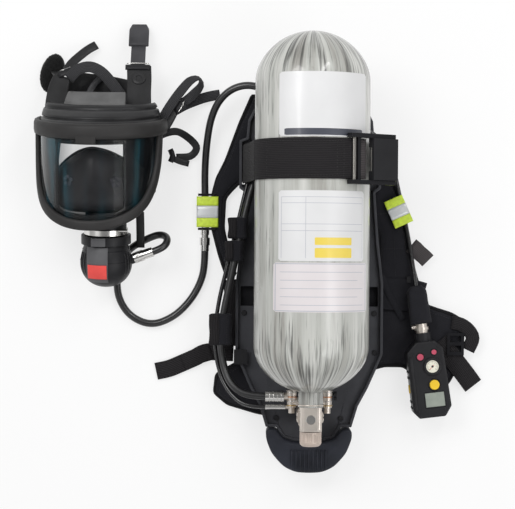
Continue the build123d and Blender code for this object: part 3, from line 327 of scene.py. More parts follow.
def visor_glass():
    """Clear visor that darkens towards its sides, with cool streaks of the room painted into its colour
    as a reflection.
    """
    look = Look("visor_clear", (0.03, 0.05, 0.06), 0.05, 0.0, Specular_IOR_Level=0.8)
    side = look.node("ShaderNodeLayerWeight", {"Blend": 0.5}).outputs["Facing"]
    alpha = look.node("ShaderNodeMapRange", {"Value": side, "From Min": 0.12, "From Max": 0.62,
        "To Min": 0.06, "To Max": 0.88})
    look.feed(look.bsdf.inputs["Alpha"], alpha.outputs[0])
    # Painted reflection: teal and olive streaks of the room painted into the visor's colour.
    painted_reflection = look.ramp(look.noise((60, 4, 30), 3), [(0.48, (0.006, 0.007, 0.008)),
        (0.56, (0.008, 0.03, 0.04)), (0.64, (0.02, 0.11, 0.15)), (0.72, (0.05, 0.07, 0.03))])
    return look.paint(painted_reflection).mat


def hose_look(name, color, rough):
    look = Look(name, color, rough, Specular_IOR_Level=0.6, Coat_Weight=0.15)
    look.vary(40, 0.3).uneven(70, rough - 0.08, rough + 0.1)
    return look.bump(look.noise(1200, 2), 0.00002).mat


HOSE = hose_look("hose_rubber", (0.012, 0.012, 0.013), 0.32)
THIN_HOSE = hose_look("thin_hose_rubber", (0.012, 0.012, 0.013), 0.22)
# The slot a piece gets from its material, unless the call names another.
SLOT_OF = {mat.name: slot for slot, mats in {"webbing": (WEBBING, BINDING_PAINTED_SHADE, GREY_WEBBING, THREAD),
    "pad_fabric": (FABRIC, LINING), "rubber": (RUBBER, BUMPER, SKIN, KEEPER, INNER_PAINTED_HIGHLIGHT, CUP, ROSETTE),
    "gloss_black": (GLOSS_BLACK,), "black_plastic": (BLACK_PLASTIC, FRAME),
    "steel": (STEEL, DARK_STEEL), "valve_metal": (NICKEL, COPPER, BRASS)}.items() for mat in mats}


# ================================================================ mesh tools
def piece(name, verts, faces, mat, body="root", slot=None, uvs=None):
    """A new object of the scene, riding on a body."""
    me = bpy.data.meshes.new(name)
    me.from_pydata([tuple(v) for v in verts], [], faces)
    if uvs:
        layer = me.uv_layers.new(name="UVMap")
        for loop in me.loops:
            layer.data[loop.index].uv = uvs[loop.vertex_index]
    me.polygons.foreach_set("use_smooth", [True] * len(me.polygons))
    me.materials.append(mat)
    me.update()
    o = bpy.data.objects.new(name, me)
    scene.collection.objects.link(o)
    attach(o, body)
    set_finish(o, slot or SLOT_OF[mat.name])
    return o


def grid(rows, k, ring=False, loop=False, flip=False):
    """Faces of a net of rows with k points each. Ring closes each row, loop joins the last row
    to the first, and flip turns the faces over."""
    faces = []
    for i in range(rows if loop else rows - 1):
        a, b = i * k, (i + 1) % rows * k
        for q in range(k if ring else k - 1):
            r = (q + 1) % k
            faces.append((a + q, b + q, b + r, a + r) if flip else (a + q, a + r, b + r, b + q))
    return faces


def tube(rows, k):
    """Faces of a closed tube of rows with k points each, with both its ends."""
    return grid(rows, k, ring=True) + [tuple(range(k))[::-1], tuple(range((rows - 1) * k, rows * k))]


def thicken(o, by, offset=-1):
    thick = o.modifiers.new("thickness", "SOLIDIFY")
    thick.thickness = by
    thick.offset = offset


def subdivide(o):
    sub = o.modifiers.new("subdivide", "SUBSURF")
    sub.levels = sub.render_levels = 1


def squared(value, power):
    """A sine or cosine made to stay longer near its ends, which squares off a circle."""
    return math.copysign(abs(value) ** power, value)


def in_mm(v):
    return tuple(c / MM for c in v)


def hand(side):
    return "l" if side < 0 else "r"


def spline(points, step):
    """A smooth line through the points, sampled about every step."""
    pts = [Vector(p) for p in points]
    ext = [pts[0] * 2 - pts[1]] + pts + [pts[-1] * 2 - pts[-2]]
    out = []
    for a, b, c, d in zip(ext, ext[1:], ext[2:], ext[3:]):
        n = max(1, round((c - b).length / step))
        for i in range(n):
            t = i / n
            out.append(0.5 * (2 * b + (c - a) * t + (2 * a - 5 * b + 4 * c - d) * t * t
                + (3 * b - a - 3 * c + d) * t ** 3))
    return out + [pts[-1]]


def flat_section(width, thick, n=3):
    """Cross-section of a strap with rounded edges."""
    h, w = thick / 2, width / 2 - thick / 2
    right = [(w + h * math.cos(a), h * math.sin(a)) for a in (math.radians(-90 + 180 * i / n) for i
        in range(n + 1))]
    return right + [(-x, -y) for x, y in right]


def sweep(name, pts, sides, section, mat, body="root", slot=None, closed=False, scale=None):
    """A section carried along the points; sides gives its across direction at each."""
    verts, uvs = [], []
    n, k, run = len(pts), len(section), 0.0
    for i, p in enumerate(pts):
        before = pts[i - 1] if (i or closed) else p
        after = pts[(i + 1) % n] if (i < n - 1 or closed) else p
        t = (after - before).normalized()
        s = Vector(sides[i] if isinstance(sides, list) else sides)
        s = (s - t * s.dot(t)).normalized()
        up = t.cross(s)
        run += (p - pts[i - 1]).length if i else 0.0
        f = scale(i / (n - 1)) if scale else 1.0
        verts += [p + s * (a * f) + up * (b * f) for a, b in section]
        uvs += [(run, a) for a, b in section]
    faces = grid(n, k, ring=True, loop=True) if closed else tube(n, k)
    return piece(name, verts, faces, mat, body, slot, uvs)


STRAP_STEP = 0.004


def blended(sides, raw, pts):
    """The across direction at each of pts, going over from one point of raw to the next."""
    total = [0.0]
    for a, b in zip(raw, raw[1:]):
        total.append(total[-1] + (b - a).length)
    out, run = [], 0.0
    for i, p in enumerate(pts):
        run = min(run + (p - pts[i - 1]).length, total[-1]) if i else 0.0
        j = min(max(q for q in range(len(raw)) if total[q] <= run + 1e-9), len(raw) - 2)
        f = min(max((run - total[j]) / (total[j + 1] - total[j]), 0), 1)
        out.append(Vector(sides[j]).normalized() * (1 - f) + Vector(sides[j + 1]).normalized() * f)
    return out


def strap(name, points, side, width, thick, mat, body="root", slot=None, scale=None):
    """A strap through points in millimetres; side is one across direction, or one per point."""
    raw = [mm(*p) for p in points]
    pts = spline(raw, STRAP_STEP)
    if isinstance(side, list):
        side = blended(side, raw, pts)
    return sweep(name, pts, side, flat_section(width * MM, thick * MM), mat, body, slot, scale=scale)


def circle(r, n):
    return [(r * math.cos(2 * math.pi * i / n), r * math.sin(2 * math.pi * i / n)) for i in range(n)]


def turned_points(profile, at, axis, n):
    """A profile of (distance along the axis, radius) in millimetres, carried round the axis."""
    at, axis = mm(*at), Vector(axis).normalized()
    a = axis.orthogonal().normalized()
    b = axis.cross(a)
    verts = []
    for i in range(n):
        t = 2 * math.pi * i / n
        out = a * math.cos(t) + b * math.sin(t)
        verts += [at + axis * (d * MM) + out * (r * MM) for d, r in profile]
    return verts


def lathe(name, profile, at, axis, mat, body="root", slot=None, n=40):
    """A turned piece with a closed front and back."""
    k = len(profile)
    faces = grid(n, k, loop=True)
    faces += [tuple(i * k for i in range(n))[::-1], tuple(i * k + k - 1 for i in range(n))]
    return sharpen(piece(name, turned_points(profile, at, axis, n), faces, mat, body, slot))


def torus(name, at, axis, big, small, mat, slot=None):
    n, k = 36, 12
    profile = [(small * math.sin(t), big + small * math.cos(t)) for t in (2 * math.pi * i / k for i
        in range(k))]
    return piece(name, turned_points(profile, at, axis, n), grid(n, k, ring=True, loop=True), mat,
        slot=slot)


def sharpen(o):
    """Shades by angle, so flat faces stay flat."""
    m = o.modifiers.new("edges", "EDGE_SPLIT")
    m.split_angle = math.radians(38)
    return o


def stitches(name, rows, length, pitch, r):
    """Sewn lines, in millimetres; the thread lies on top of each row of points."""
    verts, faces = [], []
    for row in rows:
        pts = spline([mm(*p) for p in row], pitch * MM)
        for a, b in zip(pts, pts[1:]):
            if (b - a).length < 1e-6:
                continue
            t = (b - a).normalized()
            c = (a + b) / 2
            s = t.cross(Vector((0, 0, 1)))
            s = s.normalized() if s.length > 1e-6 else Vector((1, 0, 0))
            u = s.cross(t)
            h, w = length * MM / 2, r * MM
            k = len(verts)
            verts += [c - t * h, c + s * w, c + u * w, c - s * w, c - u * w, c + t * h]
            for i in range(4):
                j = (i + 1) % 4
                faces += [(k, k + 1 + j, k + 1 + i), (k + 5, k + 1 + i, k + 1 + j)]
    return piece(name, verts, faces, THREAD)


def dress(mat, *names):
    """A better material on CAD nodes."""
    for n in names:
        for s in nodes[n].material_slots:
            s.link = "OBJECT"
            s.material = mat


def edges(width, *names):
    """Small rounded edges on CAD nodes."""
    for n in names:
        weld = nodes[n].modifiers.new("weld", "WELD")
        weld.merge_threshold = 2e-6
        bevel = nodes[n].modifiers.new("bevel", "BEVEL")
        bevel.width = width * MM
        bevel.segments = 2
        bevel.limit_method = "ANGLE"
        bevel.angle_limit = math.radians(40)
        nodes[n].modifiers.new("normals", "WEIGHTED_NORMAL")


# ================================================================ cords
def cord(name, node, route, diameter, mat):
    """A free hose; its route and diameter are in millimetres."""
    data = bpy.data.curves.new(name, "CURVE")
    data.dimensions = "3D"
    line = data.splines.new("NURBS")
    line.points.add(len(route) - 1)
    for point, p in zip(line.points, route):
        point.co = (*mm(*p), 1)
    line.order_u = 3
    line.use_endpoint_u = True
    data.resolution_u = 10
    data.bevel_depth = diameter * MM / 2
    data.bevel_resolution = 5
    data.use_fill_caps = True
    data.materials.append(mat)
    o = bpy.data.objects.new(name, data)
    scene.collection.objects.link(o)
    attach(o, "root")
    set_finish(o, "hose_rubber")
    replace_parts(o, node)


cord("supply_line", "supply_hose", SUPPLY_ROUTE, 10.5, HOSE)
cord("gauge_line", "gauge_hose", GAUGE_ROUTE, 6.0, THIN_HOSE)
cord("breathing_line", "mask_hose", MASK_ROUTE, 10.5, HOSE)

# ================================================================ CAD nodes that keep their shape
dress(carbon(), "cylinder_wrap")
dress(NECK, "cylinder_liner")
dress(NICKEL, "valve_body", "reducer_body", "coupling_nut", "whistle")
dress(KNOB, "valve_knob")
dress(STEEL, "valve_spindle", "hose_ferrules", "coupler_body", "coupler_collar", "triangle_ring",
    "swivel_nut", "clamp_ring", "reducer_piston")
dress(PLATE, "backplate")
dress(DARK_STEEL, "buckle_pins")
dress(BLACK_PLASTIC, "safety_valve", "demand_valve_body", "valve_collar", "mask_port", "strap_clips",
    "gauge_housing", "band_lever", "plate_rivets")
dress(GLOSS_BLACK, "buckle_frame", "belt_buckle")
dress(GREY_PLASTIC, "demand_valve_panel", "latch_tab")
dress(RUBBER, "saddle_pads", "demand_diaphragm", "inhale_discs")
dress(visor_glass(), "visor")
dress(RED, "red_button")
dress(PINK, "gauge_lamps")
dress(YELLOW, "front_button", "side_button")
edges(0.7, "backplate", "buckle_frame", "band_lever", "valve_body", "demand_valve_panel", "red_button",
    "gauge_housing", "mask_port", "valve_collar")


# ================================================================ floor and light
def floor():
    """A white floor that glows a little where the camera sees it."""
    look = Look("floor_white", (0.88, 0.88, 0.88), 0.9, Specular_IOR_Level=0.1)
    look.vary(3, 0.004)
    glow = look.node("ShaderNodeEmission").outputs[0]
    ray = look.node("ShaderNodeLightPath").outputs
    seen = look.math("MAXIMUM", ray["Is Camera Ray"], look.math("MAXIMUM", ray["Is Glossy Ray"],
        ray["Is Transmission Ray"]))
    both = look.node("ShaderNodeMixShader", {0: look.math("MULTIPLY", seen, 0.7),
        1: look.bsdf.outputs[0], 2: glow})
    look.feed(look.tree.nodes["Material Output"].inputs["Surface"], both.outputs[0])
    s = 3.0
    o = piece("floor", [(-s, -s, -0.0006), (s, -s, -0.0006), (s, s, -0.0006), (-s, s, -0.0006)],
        [(0, 1, 2, 3)], look.mat, slot="pad_fabric")
    o.parent = None
    del o["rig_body"], o["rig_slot"]


def lamp(name, at, size, power):
    """An area lamp that looks at the middle of the part."""
    data = bpy.data.lights.new(name, "AREA")
    data.shape = "RECTANGLE"
    data.size, data.size_y = size
    data.energy = power
    o = bpy.data.objects.new(name, data)
    scene.collection.objects.link(o)
    o.location = at
    o.rotation_euler = (Vector((-0.05, 0, 0)) - o.location).to_track_quat("-Z", "Y").to_euler()


def light():
    """A studio world, bright above and dark at the sides, and three lamps."""
    world = bpy.data.worlds.new("studio")
    world.use_nodes = True
    tree = world.node_tree
    back = tree.nodes["Background"]
    back.inputs["Strength"].default_value = 0.9
    coords = tree.nodes.new("ShaderNodeTexCoord")
    split = tree.nodes.new("ShaderNodeSeparateXYZ")
    ramp = tree.nodes.new("ShaderNodeValToRGB")
    gray = ((0.0, 0.5), (0.5, 0.6), (0.62, 1.1), (0.78, 0.9), (0.9, 0.3), (1.0, 0.22))
    set_stops(ramp, [(at, (v, v, v)) for at, v in gray])
    tree.links.new(coords.outputs["Generated"], split.inputs[0])
    tree.links.new(split.outputs["Z"], ramp.inputs["Fac"])
    tree.links.new(ramp.outputs["Color"], back.inputs["Color"])
    scene.world = world
    lamp("key", (-0.9, 0.8, 1.7), (0.9, 0.9), 15)
    lamp("fill", (1.0, -0.5, 1.5), (1.0, 0.8), 7)
    lamp("strip", (0.45, 0.9, 1.3), (0.15, 1.0), 4)


floor()
light()
scene.view_settings.view_transform = "Standard"


# ================================================================ pads
def pad_loops(node):
    """The outlines of a CAD pad's underside, one for each solid, as points in metres."""
    bm = bmesh.new()
    bm.from_mesh(nodes[node].data)
    bmesh.ops.remove_doubles(bm, verts=bm.verts, dist=1e-5)
    low = min(v.co.z for v in bm.verts)
    # A list keeps the faces in order, so the outlines start at the same point in each run.
    base = [f for f in bm.faces if all(abs(v.co.z - low) < 1e-5 for v in f.verts)]
    members = set(base)
    follow = {}
    for f in base:
        for loop in f.loops:
            if sum(g in members for g in loop.edge.link_faces) == 1:
                follow[loop.vert.index] = loop.link_loop_next.vert.index
    bm.verts.ensure_lookup_table()
    at = {v.index: v.co.copy() for v in bm.verts}
    bm.free()
    loops = []
    while follow:
        start, ring = next(iter(follow)), []
        while start in follow:
            ring.append(at[start])
            start = follow.pop(start)
        loops.append(ring)
    return loops


def even(ring, step):
    """A closed outline with evenly spaced points."""
    out, spare = [], 0.0
    for a, b in zip(ring, ring[1:] + ring[:1]):
        d = (b - a).length
        t = spare
        while t < d:
            out.append(a.lerp(b, t / d))
            t += step
        spare = t - d
    return out


def inward(ring, by, z):
    """The outline moved inwards, at height z; the ring is smoothed as it goes."""
    n = len(ring)
    area = sum(a.x * b.y - b.x * a.y for a, b in zip(ring, ring[1:] + ring[:1]))
    way = 1 if area > 0 else -1
    out = []
    for i, p in enumerate(ring):
        t = (ring[(i + 2) % n] - ring[i - 2]).normalized()
        out.append(Vector((p.x - t.y * way * by, p.y + t.x * way * by, z)))
    return [(out[i - 1] + out[i] * 2 + out[(i + 1) % n]) / 4 for i in range(n)]


def evaluated(o):
    return bpy.data.meshes.new_from_object(o.evaluated_get(bpy.context.evaluated_depsgraph_get()))


def cushion(name, node, mat, top, cap):
    """A padded piece: the CAD solid remeshed, shrunk and blown up as cloth under pressure. No
    point moves by more than cap, and top(x, y) is the greatest height."""
    o = bpy.data.objects.new(name, nodes[node].data.copy())
    scene.collection.objects.link(o)
    remesh = o.modifiers.new("remesh", "REMESH")
    remesh.mode = "VOXEL"
    remesh.voxel_size = 0.005
    o.data = evaluated(o)
    o.modifiers.clear()
    for v, normal in zip(o.data.vertices, [v.normal.copy() for v in o.data.vertices]):
        v.co -= normal * 0.0012
    start = [v.co.copy() for v in o.data.vertices]
    cloth = o.modifiers.new("cloth", "CLOTH")
    cloth.settings.quality = 5
    cloth.settings.use_pressure = True
    cloth.settings.uniform_pressure_force = 4
    cloth.settings.effector_weights.gravity = 0
    for f in range(1, 21):
        scene.frame_set(f)
    blown = evaluated(o)
    o.modifiers.clear()
    moved = [v.co.copy() for v in blown.vertices]
    scene.frame_set(1)
    for v, a, b in zip(o.data.vertices, start, moved):
        d = b - a
        if d.length > cap:
            d *= cap / d.length
        p = a + d
        rumple = noise.noise(p * 38) * 0.0011 + noise.noise(p * 95) * 0.0005
        if p.z > 0.007:
            p.z += rumple
        p.z = min(max(p.z, 0.0006), top(p.x, p.y))
        v.co = p
    o.data.polygons.foreach_set("use_smooth", [True] * len(o.data.polygons))
    o.data.materials.clear()
    o.data.materials.append(mat)
    subdivide(o)
    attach(o, "root")
    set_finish(o, "pad_fabric")
    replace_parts(o, node)


def bound_edge(name, ring, z):
    """Binding tape folded over a pad's edge, in webbing darkened as painted shade."""
    edge = inward(even(ring, 0.004), 0.0024, z)
    sweep(name + "_binding", edge, Vector((0, 0, 1)), flat_section(0.009, 0.0056), BINDING_PAINTED_SHADE, closed=True)


def sewn(ring, by, z):
    """A sewn line along a pad's edge, closed, in millimetres."""
    row = inward(even(ring, 0.004), by, z)
    return [in_mm(p) for p in row + row[:1]]


def pads():
    """The padded pieces, their bound edges and their sewn lines."""
    cushion("hip_cushions", "hip_pads", FABRIC, lambda x, y: 0.0122 if x > 0.14
        else (0.0174 if abs(x) < 0.075 else 0.0150), 0.003)
    cushion("shoulder_cushions", "shoulder_pads", FABRIC, lambda x, y: 0.0135
        if (x < -0.12 and y > 0.03) or x > 0.10 else 0.0150, 0.0025)
    cushion("back_cushion", "back_pad", LINING, lambda x, y: 0.0176, 0.002)
    rows = []
    for node, by, z in (("hip_pads", 0.009, 0.0128), ("shoulder_pads", 0.007, 0.0137)):
        for i, ring in enumerate(pad_loops(node)):
            bound_edge(f"{node}_{i}", ring, 0.0062)
            rows.append(sewn(ring, by, z))
    stitches("pad_stitches", rows, 2.8, 4.2, 0.3)


def bumper():
    """Ribbed rubber foot of the back plate, with soft corners."""
    low, high = (Vector(c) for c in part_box("bumper"))
    ring = even(pad_loops("bumper")[0], 0.003)
    for _ in range(5):
        ring = inward(ring, 0, low.z)
    layers = [(0.0008, low.z), (0, low.z + 0.0012), (0, high.z - 0.004), (0.0006, high.z - 0.0018),
        (0.0022, high.z - 0.0004), (0.0042, high.z)]
    verts = [v for by, z in layers for v in inward(ring, by, z)]
    body = piece("bumper_skin", verts, tube(len(layers), len(ring)), BUMPER)
    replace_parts(body, "bumper")
    y0, z = low.y / MM, high.z / MM
    for i in range(9):
        x = -24 + 6 * i
        y = y0 + 1.8 + 0.006 * x * x
        strap(f"bumper_rib_{i}", [(x, y, z - 3), (x, y + 2.5, z - 0.2), (x, y + 12, z + 0.7),
            (x, y0 + 33, z + 0.7)], (1, 0, 0), 3.4, 3.0, BUMPER)


# ================================================================ webbing
def ring_points(r, a0, a1, n, y):
    """An arc round the cylinder, in millimetres; its angles run from the top."""
    angles = [math.radians(a0 + (a1 - a0) * i / n) for i in range(n + 1)]
    return [(r * math.sin(a), y, AXIS_Z + r * math.cos(a)) for a in angles]


def buckle_at(u, n, y):
    """A point u along the band's buckle and n above the cylinder, in millimetres."""
    a = math.radians(35)
    x0, z0 = CYL * math.sin(a), AXIS_Z + CYL * math.cos(a)
    return (x0 + u * math.cos(a) + n * math.sin(a), y, z0 - u * math.sin(a) + n * math.cos(a))


BAND_Y = 128


def band():
    """The webbing round the cylinder, its tail and the lining under its lever."""
    y = BAND_Y
    foot = [(-95, y, 19), (-95, y, 30), (-88, y, 70), (-84, y, 95)]
    over = ring_points(CYL + 1.6, -80, 31, 24, y)
    pin = [buckle_at(0.6, 2.4, y), buckle_at(3.2, 3.4, y), buckle_at(4.5, 3.5, y)]
    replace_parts(strap("cylinder_strap", foot + over + pin, (0, 1, 0), 55, 2.2, WEBBING), "band_strap")
    x, _, z = buckle_at(70, 5, y)
    tail = [(x, y, z), (x + 1, y, z - 20), (96, y, 55), (95, y, 34), (95, y, 19)]
    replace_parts(strap("cylinder_strap_tail", tail, (0, 1, 0), 54, 2.2, WEBBING), "band_tail")
    sewn_at = CYL + 2.9
    rows = [ring_points(sewn_at, -60, 30, 16, y + dy) for dy in (-23, 23)]
    for angle in (-50, 22, 29):
        x, _, z = ring_points(sewn_at, angle, angle, 1, y)[0]
        rows.append([(x, y + dy, z) for dy in (-23, 0, 23)])
    stitches("strap_stitches", rows, 3.0, 4.4, 0.35)
    liner = [buckle_at(9, 5.3, y), buckle_at(17, 5.5, y), buckle_at(26, 5.3, y)]
    strap("buckle_liner", liner, (0, 1, 0), 54, 1.2, GREY_WEBBING)


def harness():
    """Straps, belts and folds beside the pads."""
    left = strap("left_strap", [(-112, -37.1, 2.6), (-110, -58, 2.2), (-108, -80, 2), (-105, -106, 2.3),
        (-102.6, -132.3, 2)], (1, 0, 0), 24, 2.5, WEBBING)
    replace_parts(left, "shoulder_straps")
    strap("right_tab", [(146, 14, 13.6), (152, 9, 14.2), (158, 3, 13.4), (164, -2, 14.4),
        (170, -8, 13.4)], (0.62, 0.78, 0), 23, 2.5, GREY_WEBBING)
    for side in (-1, 1):
        strap(f"grip_lining_{hand(side)}", [(68 * side, -55, 10), (86 * side, -55, 10.6),
            (104 * side, -55, 10)], (0, 1, 0), 46, 2, LINING)
    strap("pad_bridge", [(99, -55, 13.2), (116, -56, 14.4), (136, -57, 14.6), (152, -59, 14.2),
        (163, -62, 12.8)], (0, 1, 0), 46, 2.4, FABRIC)
    strap("pad_pleat", [(103, -28, 15.0), (112, -52, 16.0), (124, -74, 15.8), (135, -92, 15.2)],
        (1, 0.5, 0), 9, 2.0, FABRIC)
    belt = strap("left_belt", [(-219, -170, 2.2), (-200, -165.5, 3.2), (-182, -158, 2.6),
        (-163, -149.5, 3.4), (-145, -141.5, 2.6), (-108, -142.5, 2.2)], [(-0.25, 1, 0), (-0.3, 1, 0),
        (-0.35, 1, 0), (-0.35, 1, 0), (-0.2, 1, 0), (0, 1, 0)], 25, 2.4, WEBBING)
    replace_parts(belt, "belt_left")
    strap("left_belt_fold", [(-180, -157, 5.6), (-160, -148, 6.2), (-140, -141.5, 5.4)], (-0.35, 1, 0),
        23, 2.2, WEBBING)
    tail = strap("right_belt", [(186, -124, 14), (205, -146, 14.2), (224, -170, 13.6), (237, -187, 6)],
        (0.74, 0.67, 0), 29, 2.5, WEBBING)
    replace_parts(tail, "belt_right")
    strap("right_belt_loop", [(205, -96, 14), (218, -99, 14.3), (229, -107, 14.2), (235, -119, 14),
        (228, -136, 14)], [(0, 1, 0), (0.15, 1, 0), (0.6, 0.8, 0), (1, 0.1, 0), (1, -0.3, 0)], 20, 2.4,
        WEBBING)
    rows = [[(-121, -45, 3.6), (-117, -90, 3.5), (-112, -128, 3.5)], [(-103, -45, 3.6), (-99, -90, 3.5),
        (-94, -128, 3.5)], [(-108, -42, 4.1), (-103, -50, 3.8)], [(-118, -42, 4.1), (-112, -50, 3.8)],
        [(-142, -151, 3.9), (-116, -152, 3.6)], [(-140, -134, 3.9), (-116, -134, 3.6)],
        [(96, 58, 14.2), (134, 62, 14.2)], [(98, 8, 14.2), (139, 10, 14.2)],
        [(119, 56, 14.3), (121, 30, 14.3), (124, -30, 14.3)], [(196, -150, 15.6), (214, -136, 15.6)],
        [(214, -172, 15.2), (232, -160, 15.2)]]
    stitches("harness_stitches", rows, 2.6, 3.8, 0.3)


def patch(name, corner, along, across, length, width, z, lift):
    """A reflective loop: bright edges with a silver stripe, bent over what it holds."""
    bright = Look("reflective_yellow", (0.62, 0.80, 0.06), 0.45)
    bright.vary(200, 0.12)
    bright.bump(bright.noise(1500), 0.00008)
    silver = Look("reflective_silver", (0.72, 0.74, 0.74), 0.3, 0.25)
    checks = silver.math("MULTIPLY", silver.wave(0.0016, "X"), silver.wave(0.0016, "Y"))
    silver.paint(silver.mix(checks, (0.62, 0.64, 0.65), (0.86, 0.88, 0.88)))
    silver.bump(checks, 0.00008)
    at, a, b = mm(*corner), Vector(along).normalized(), Vector(across).normalized()
    parts = ((0.0, 0.30, bright), (0.30, 0.70, silver), (0.70, 1.0, bright))
    for i, (u0, u1, look) in enumerate(parts):
        verts, nu, nv = [], 4, 14
        for q in range(nu + 1):
            for r in range(nv + 1):
                u = u0 + (u1 - u0) * q / nu
                v = r / nv
                verts.append(at + a * (length * MM * u) + b * (width * MM * v)
                    + Vector((0, 0, (z + lift(v)) * MM)))
        o = piece(f"{name}_{i}", verts, grid(nu + 1, nv + 1, flip=True), look.mat, slot="reflective")
        thicken(o, 0.0009, 1)
        if i == 1:
            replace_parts(o, "reflective_patches")


def patches():
    """The two reflective loops and the tapes that hold the left one."""
    def hump(v):
        return 1.1 * math.sin(math.pi * v)

    patch("left_patch", (-162, 38, 0), (0, 1, 0), (1, 0, 0), 44, 31, 13.7, hump)
    a = math.radians(24)
    along, across = (-math.sin(a), math.cos(a), 0), (math.cos(a), math.sin(a), 0)
    cx, cy = 127, 62
    corner = (cx - along[0] * 20.5 - across[0] * 14, cy - along[1] * 20.5 - across[1] * 14, 0)
    patch("right_patch", corner, along, across, 41, 28, 20.8, hump)
    for x0, x1, y in ((-160, -134, 35.5), (-160, -134, 84.5)):
        strap(f"patch_tape_{int(y)}", [(x0, y, 14.2), ((x0 + x1) / 2, y, 15.2), (x1, y, 14.2)],
            (0, 1, 0), 3.5, 1.0, WEBBING)


def sleeves():
    """Fabric sleeves with a hook-and-loop flap, round the hoses."""
    boxes = ((-117, -88, 21, 52), (-121, -93, -11, 19), (-143, -109, -130, -84))
    for i, (x0, x1, y0, y1) in enumerate(boxes):
        cx, w, h, cz = (x0 + x1) / 2, (x1 - x0) / 2, 12.2, 44
        verts, k, n = [], 28, 12
        for q in range(n + 1):
            v = q / n
            y = y0 + (y1 - y0) * v
            pinch = 1 - 0.06 * math.sin(math.pi * v) + 0.03 * math.sin(9 * v + i)
            for r in range(k):
                t = 2 * math.pi * r / k
                x = w * squared(math.cos(t), 0.62) * pinch
                z = h * squared(math.sin(t), 0.62) * (0.98 + 0.02 * math.sin(7 * t + i))
                verts.append(mm(cx + x, y, cz + z))
        o = piece(f"sleeve_{i}", verts, tube(n + 1, k), FABRIC)
        subdivide(o)
        if i == 0:
            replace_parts(o, "hose_sleeves")
        flap = [(cx - w * 0.55, y0 + 2, cz + h + 0.2), (cx - w * 0.50, (y0 + y1) / 2, cz + h + 0.5),
            (cx - w * 0.55, y1 - 2, cz + h + 0.2)]
        strap(f"sleeve_flap_{i}", flap, (1, 0, 0), w * 0.8, 1.0, WEBBING)
        rows = [[(cx + w * 0.55, y0 + 3, cz + h + 0.1), (cx + w * 0.55, y1 - 3, cz + h + 0.1)],
            [(cx - w * 0.05, y0 + 3, cz + h + 0.5), (cx - w * 0.05, y1 - 3, cz + h + 0.5)]]
        stitches(f"sleeve_stitches_{i}", rows, 2.4, 3.6, 0.28)


# ================================================================ cylinder labels and fittings
def label(name, y0, y1, a0, a1, look, lift=0.3, corner=3.0):
    """A thin label wrapped on the cylinder, with rounded corners."""
    verts, n, m = [], 36, 12
    r = (CYL + lift) * MM
    width = math.radians(a1 - a0) * r
    for i in range(n + 1):
        t = i / n
        s = min(t, 1 - t) * width / (corner * MM)
        cut = corner * MM * (1 - math.sqrt(max(0, 1 - (1 - s) ** 2))) if s < 1 else 0
        a = math.radians(a0 + (a1 - a0) * t)
        for j in range(m + 1):
            y = (y0 * MM + cut) + ((y1 - y0) * MM - 2 * cut) * j / m
            verts.append((r * math.sin(a), y, AXIS_Z * MM + r * math.cos(a)))
    faces = [f[::-1] for f in grid(n + 1, m + 1, flip=True)]
    piece(name, verts, faces, look, slot="carbon_wrap")


def paper(name, color, rough=0.35):
    look = Look(name, color, rough, Coat_Weight=0.3, Coat_Roughness=0.1)
    look.vary(20, 0.03).uneven(50, rough - 0.08, rough + 0.08)
    return look.mat


def labels():
    """Bare labels with generic rules and blocks."""
    white = paper("label_white", (0.70, 0.70, 0.705))
    pale = paper("label_pale", (0.70, 0.66, 0.67))
    dark = paper("label_dark", (0.055, 0.06, 0.08))
    rule = paper("label_rule", (0.46, 0.47, 0.52))
    yellow = paper("label_yellow", (0.80, 0.62, 0.10))
    label("label_top", 157, 243, -36, 62, white)
    label("label_top_bar", 158.5, 167.5, -30, 55, dark, 0.36, 0.8)
    label("label_table", -9, 85, -36, 59, white)
    label("label_lower", -77, -11, -42, 66, pale)
    for i, y in enumerate((76, 68, 40, 31)):
        label(f"table_rule_{i}", y, y + 0.7, -33, 56, rule, 0.36, 0.1)
    for i, a in enumerate((-33, -8, 56)):
        label(f"table_post_{i}", -5, 76.7, a, a + 0.5, rule, 0.36, 0.1)
    for i, (y0, y1) in enumerate(((12.5, 22.5), (-4.5, 8.5))):
        label(f"table_block_{i}", y0, y1, 1, 40, yellow, 0.4, 0.5)
    for i, (y0, y1, a0, a1) in enumerate(((-76, -74.8, -40, 64), (-13.2, -12, -40, 64),
            (-76, -12, -40, -39), (-76, -12, 63, 64))):
        label(f"lower_frame_{i}", y0, y1, a0, a1, rule, 0.36, 0.1)
    for i in range(5):
        label(f"lower_rule_{i}", -24 - 11 * i, -23.2 - 11 * i, -34, 58 - 9 * (i % 2), rule, 0.36, 0.1)


def fittings():
    """Rings and washers on the valve, the reducer and the hose ends."""
    for side in (-1, 1):
        for i, (y, r, look) in enumerate(((-193, 7.2, STEEL), (-200, 6.6, COPPER), (-206, 6.4, STEEL),
                (-212, 6.4, BRASS))):
            torus(f"post_ring_{hand(side)}{i}", (25 * side, y, 66), (0, 1, 0), r, 0.9,
                look, "valve_metal")
    for i in range(4):
        torus(f"ferrule_ring_{i}", (-56 + 5.5 * i, -199.5, 66), (1, 0, 0), 7.9, 0.7, STEEL)
    torus("neck_ring", (0, -206, AXIS_Z), (0, 1, 0), 17.2, 1.0, NICKEL)
    torus("valve_ring", (0, -238, AXIS_Z), (0, 1, 0), 12.5, 1.0, STEEL, "valve_metal")
    lathe("valve_plate", [(0, 0.1), (0, 6.2), (0.5, 6.6), (1.0, 6.2), (1.0, 0.1)], (0, -225.5, 140),
        (0, 0, 1), STEEL, slot="valve_metal")


# ================================================================ gauge unit
# The gauge unit's own frame: its face is FACE above the floor, and its dial is at DIAL_X, DIAL_Y.
UNIT = Matrix.Translation(mm(170, -176, 0)) @ Matrix.Rotation(math.radians(7), 4, "Z")
FACE = 47.6
DIAL_X, DIAL_Y = 6.5, 18


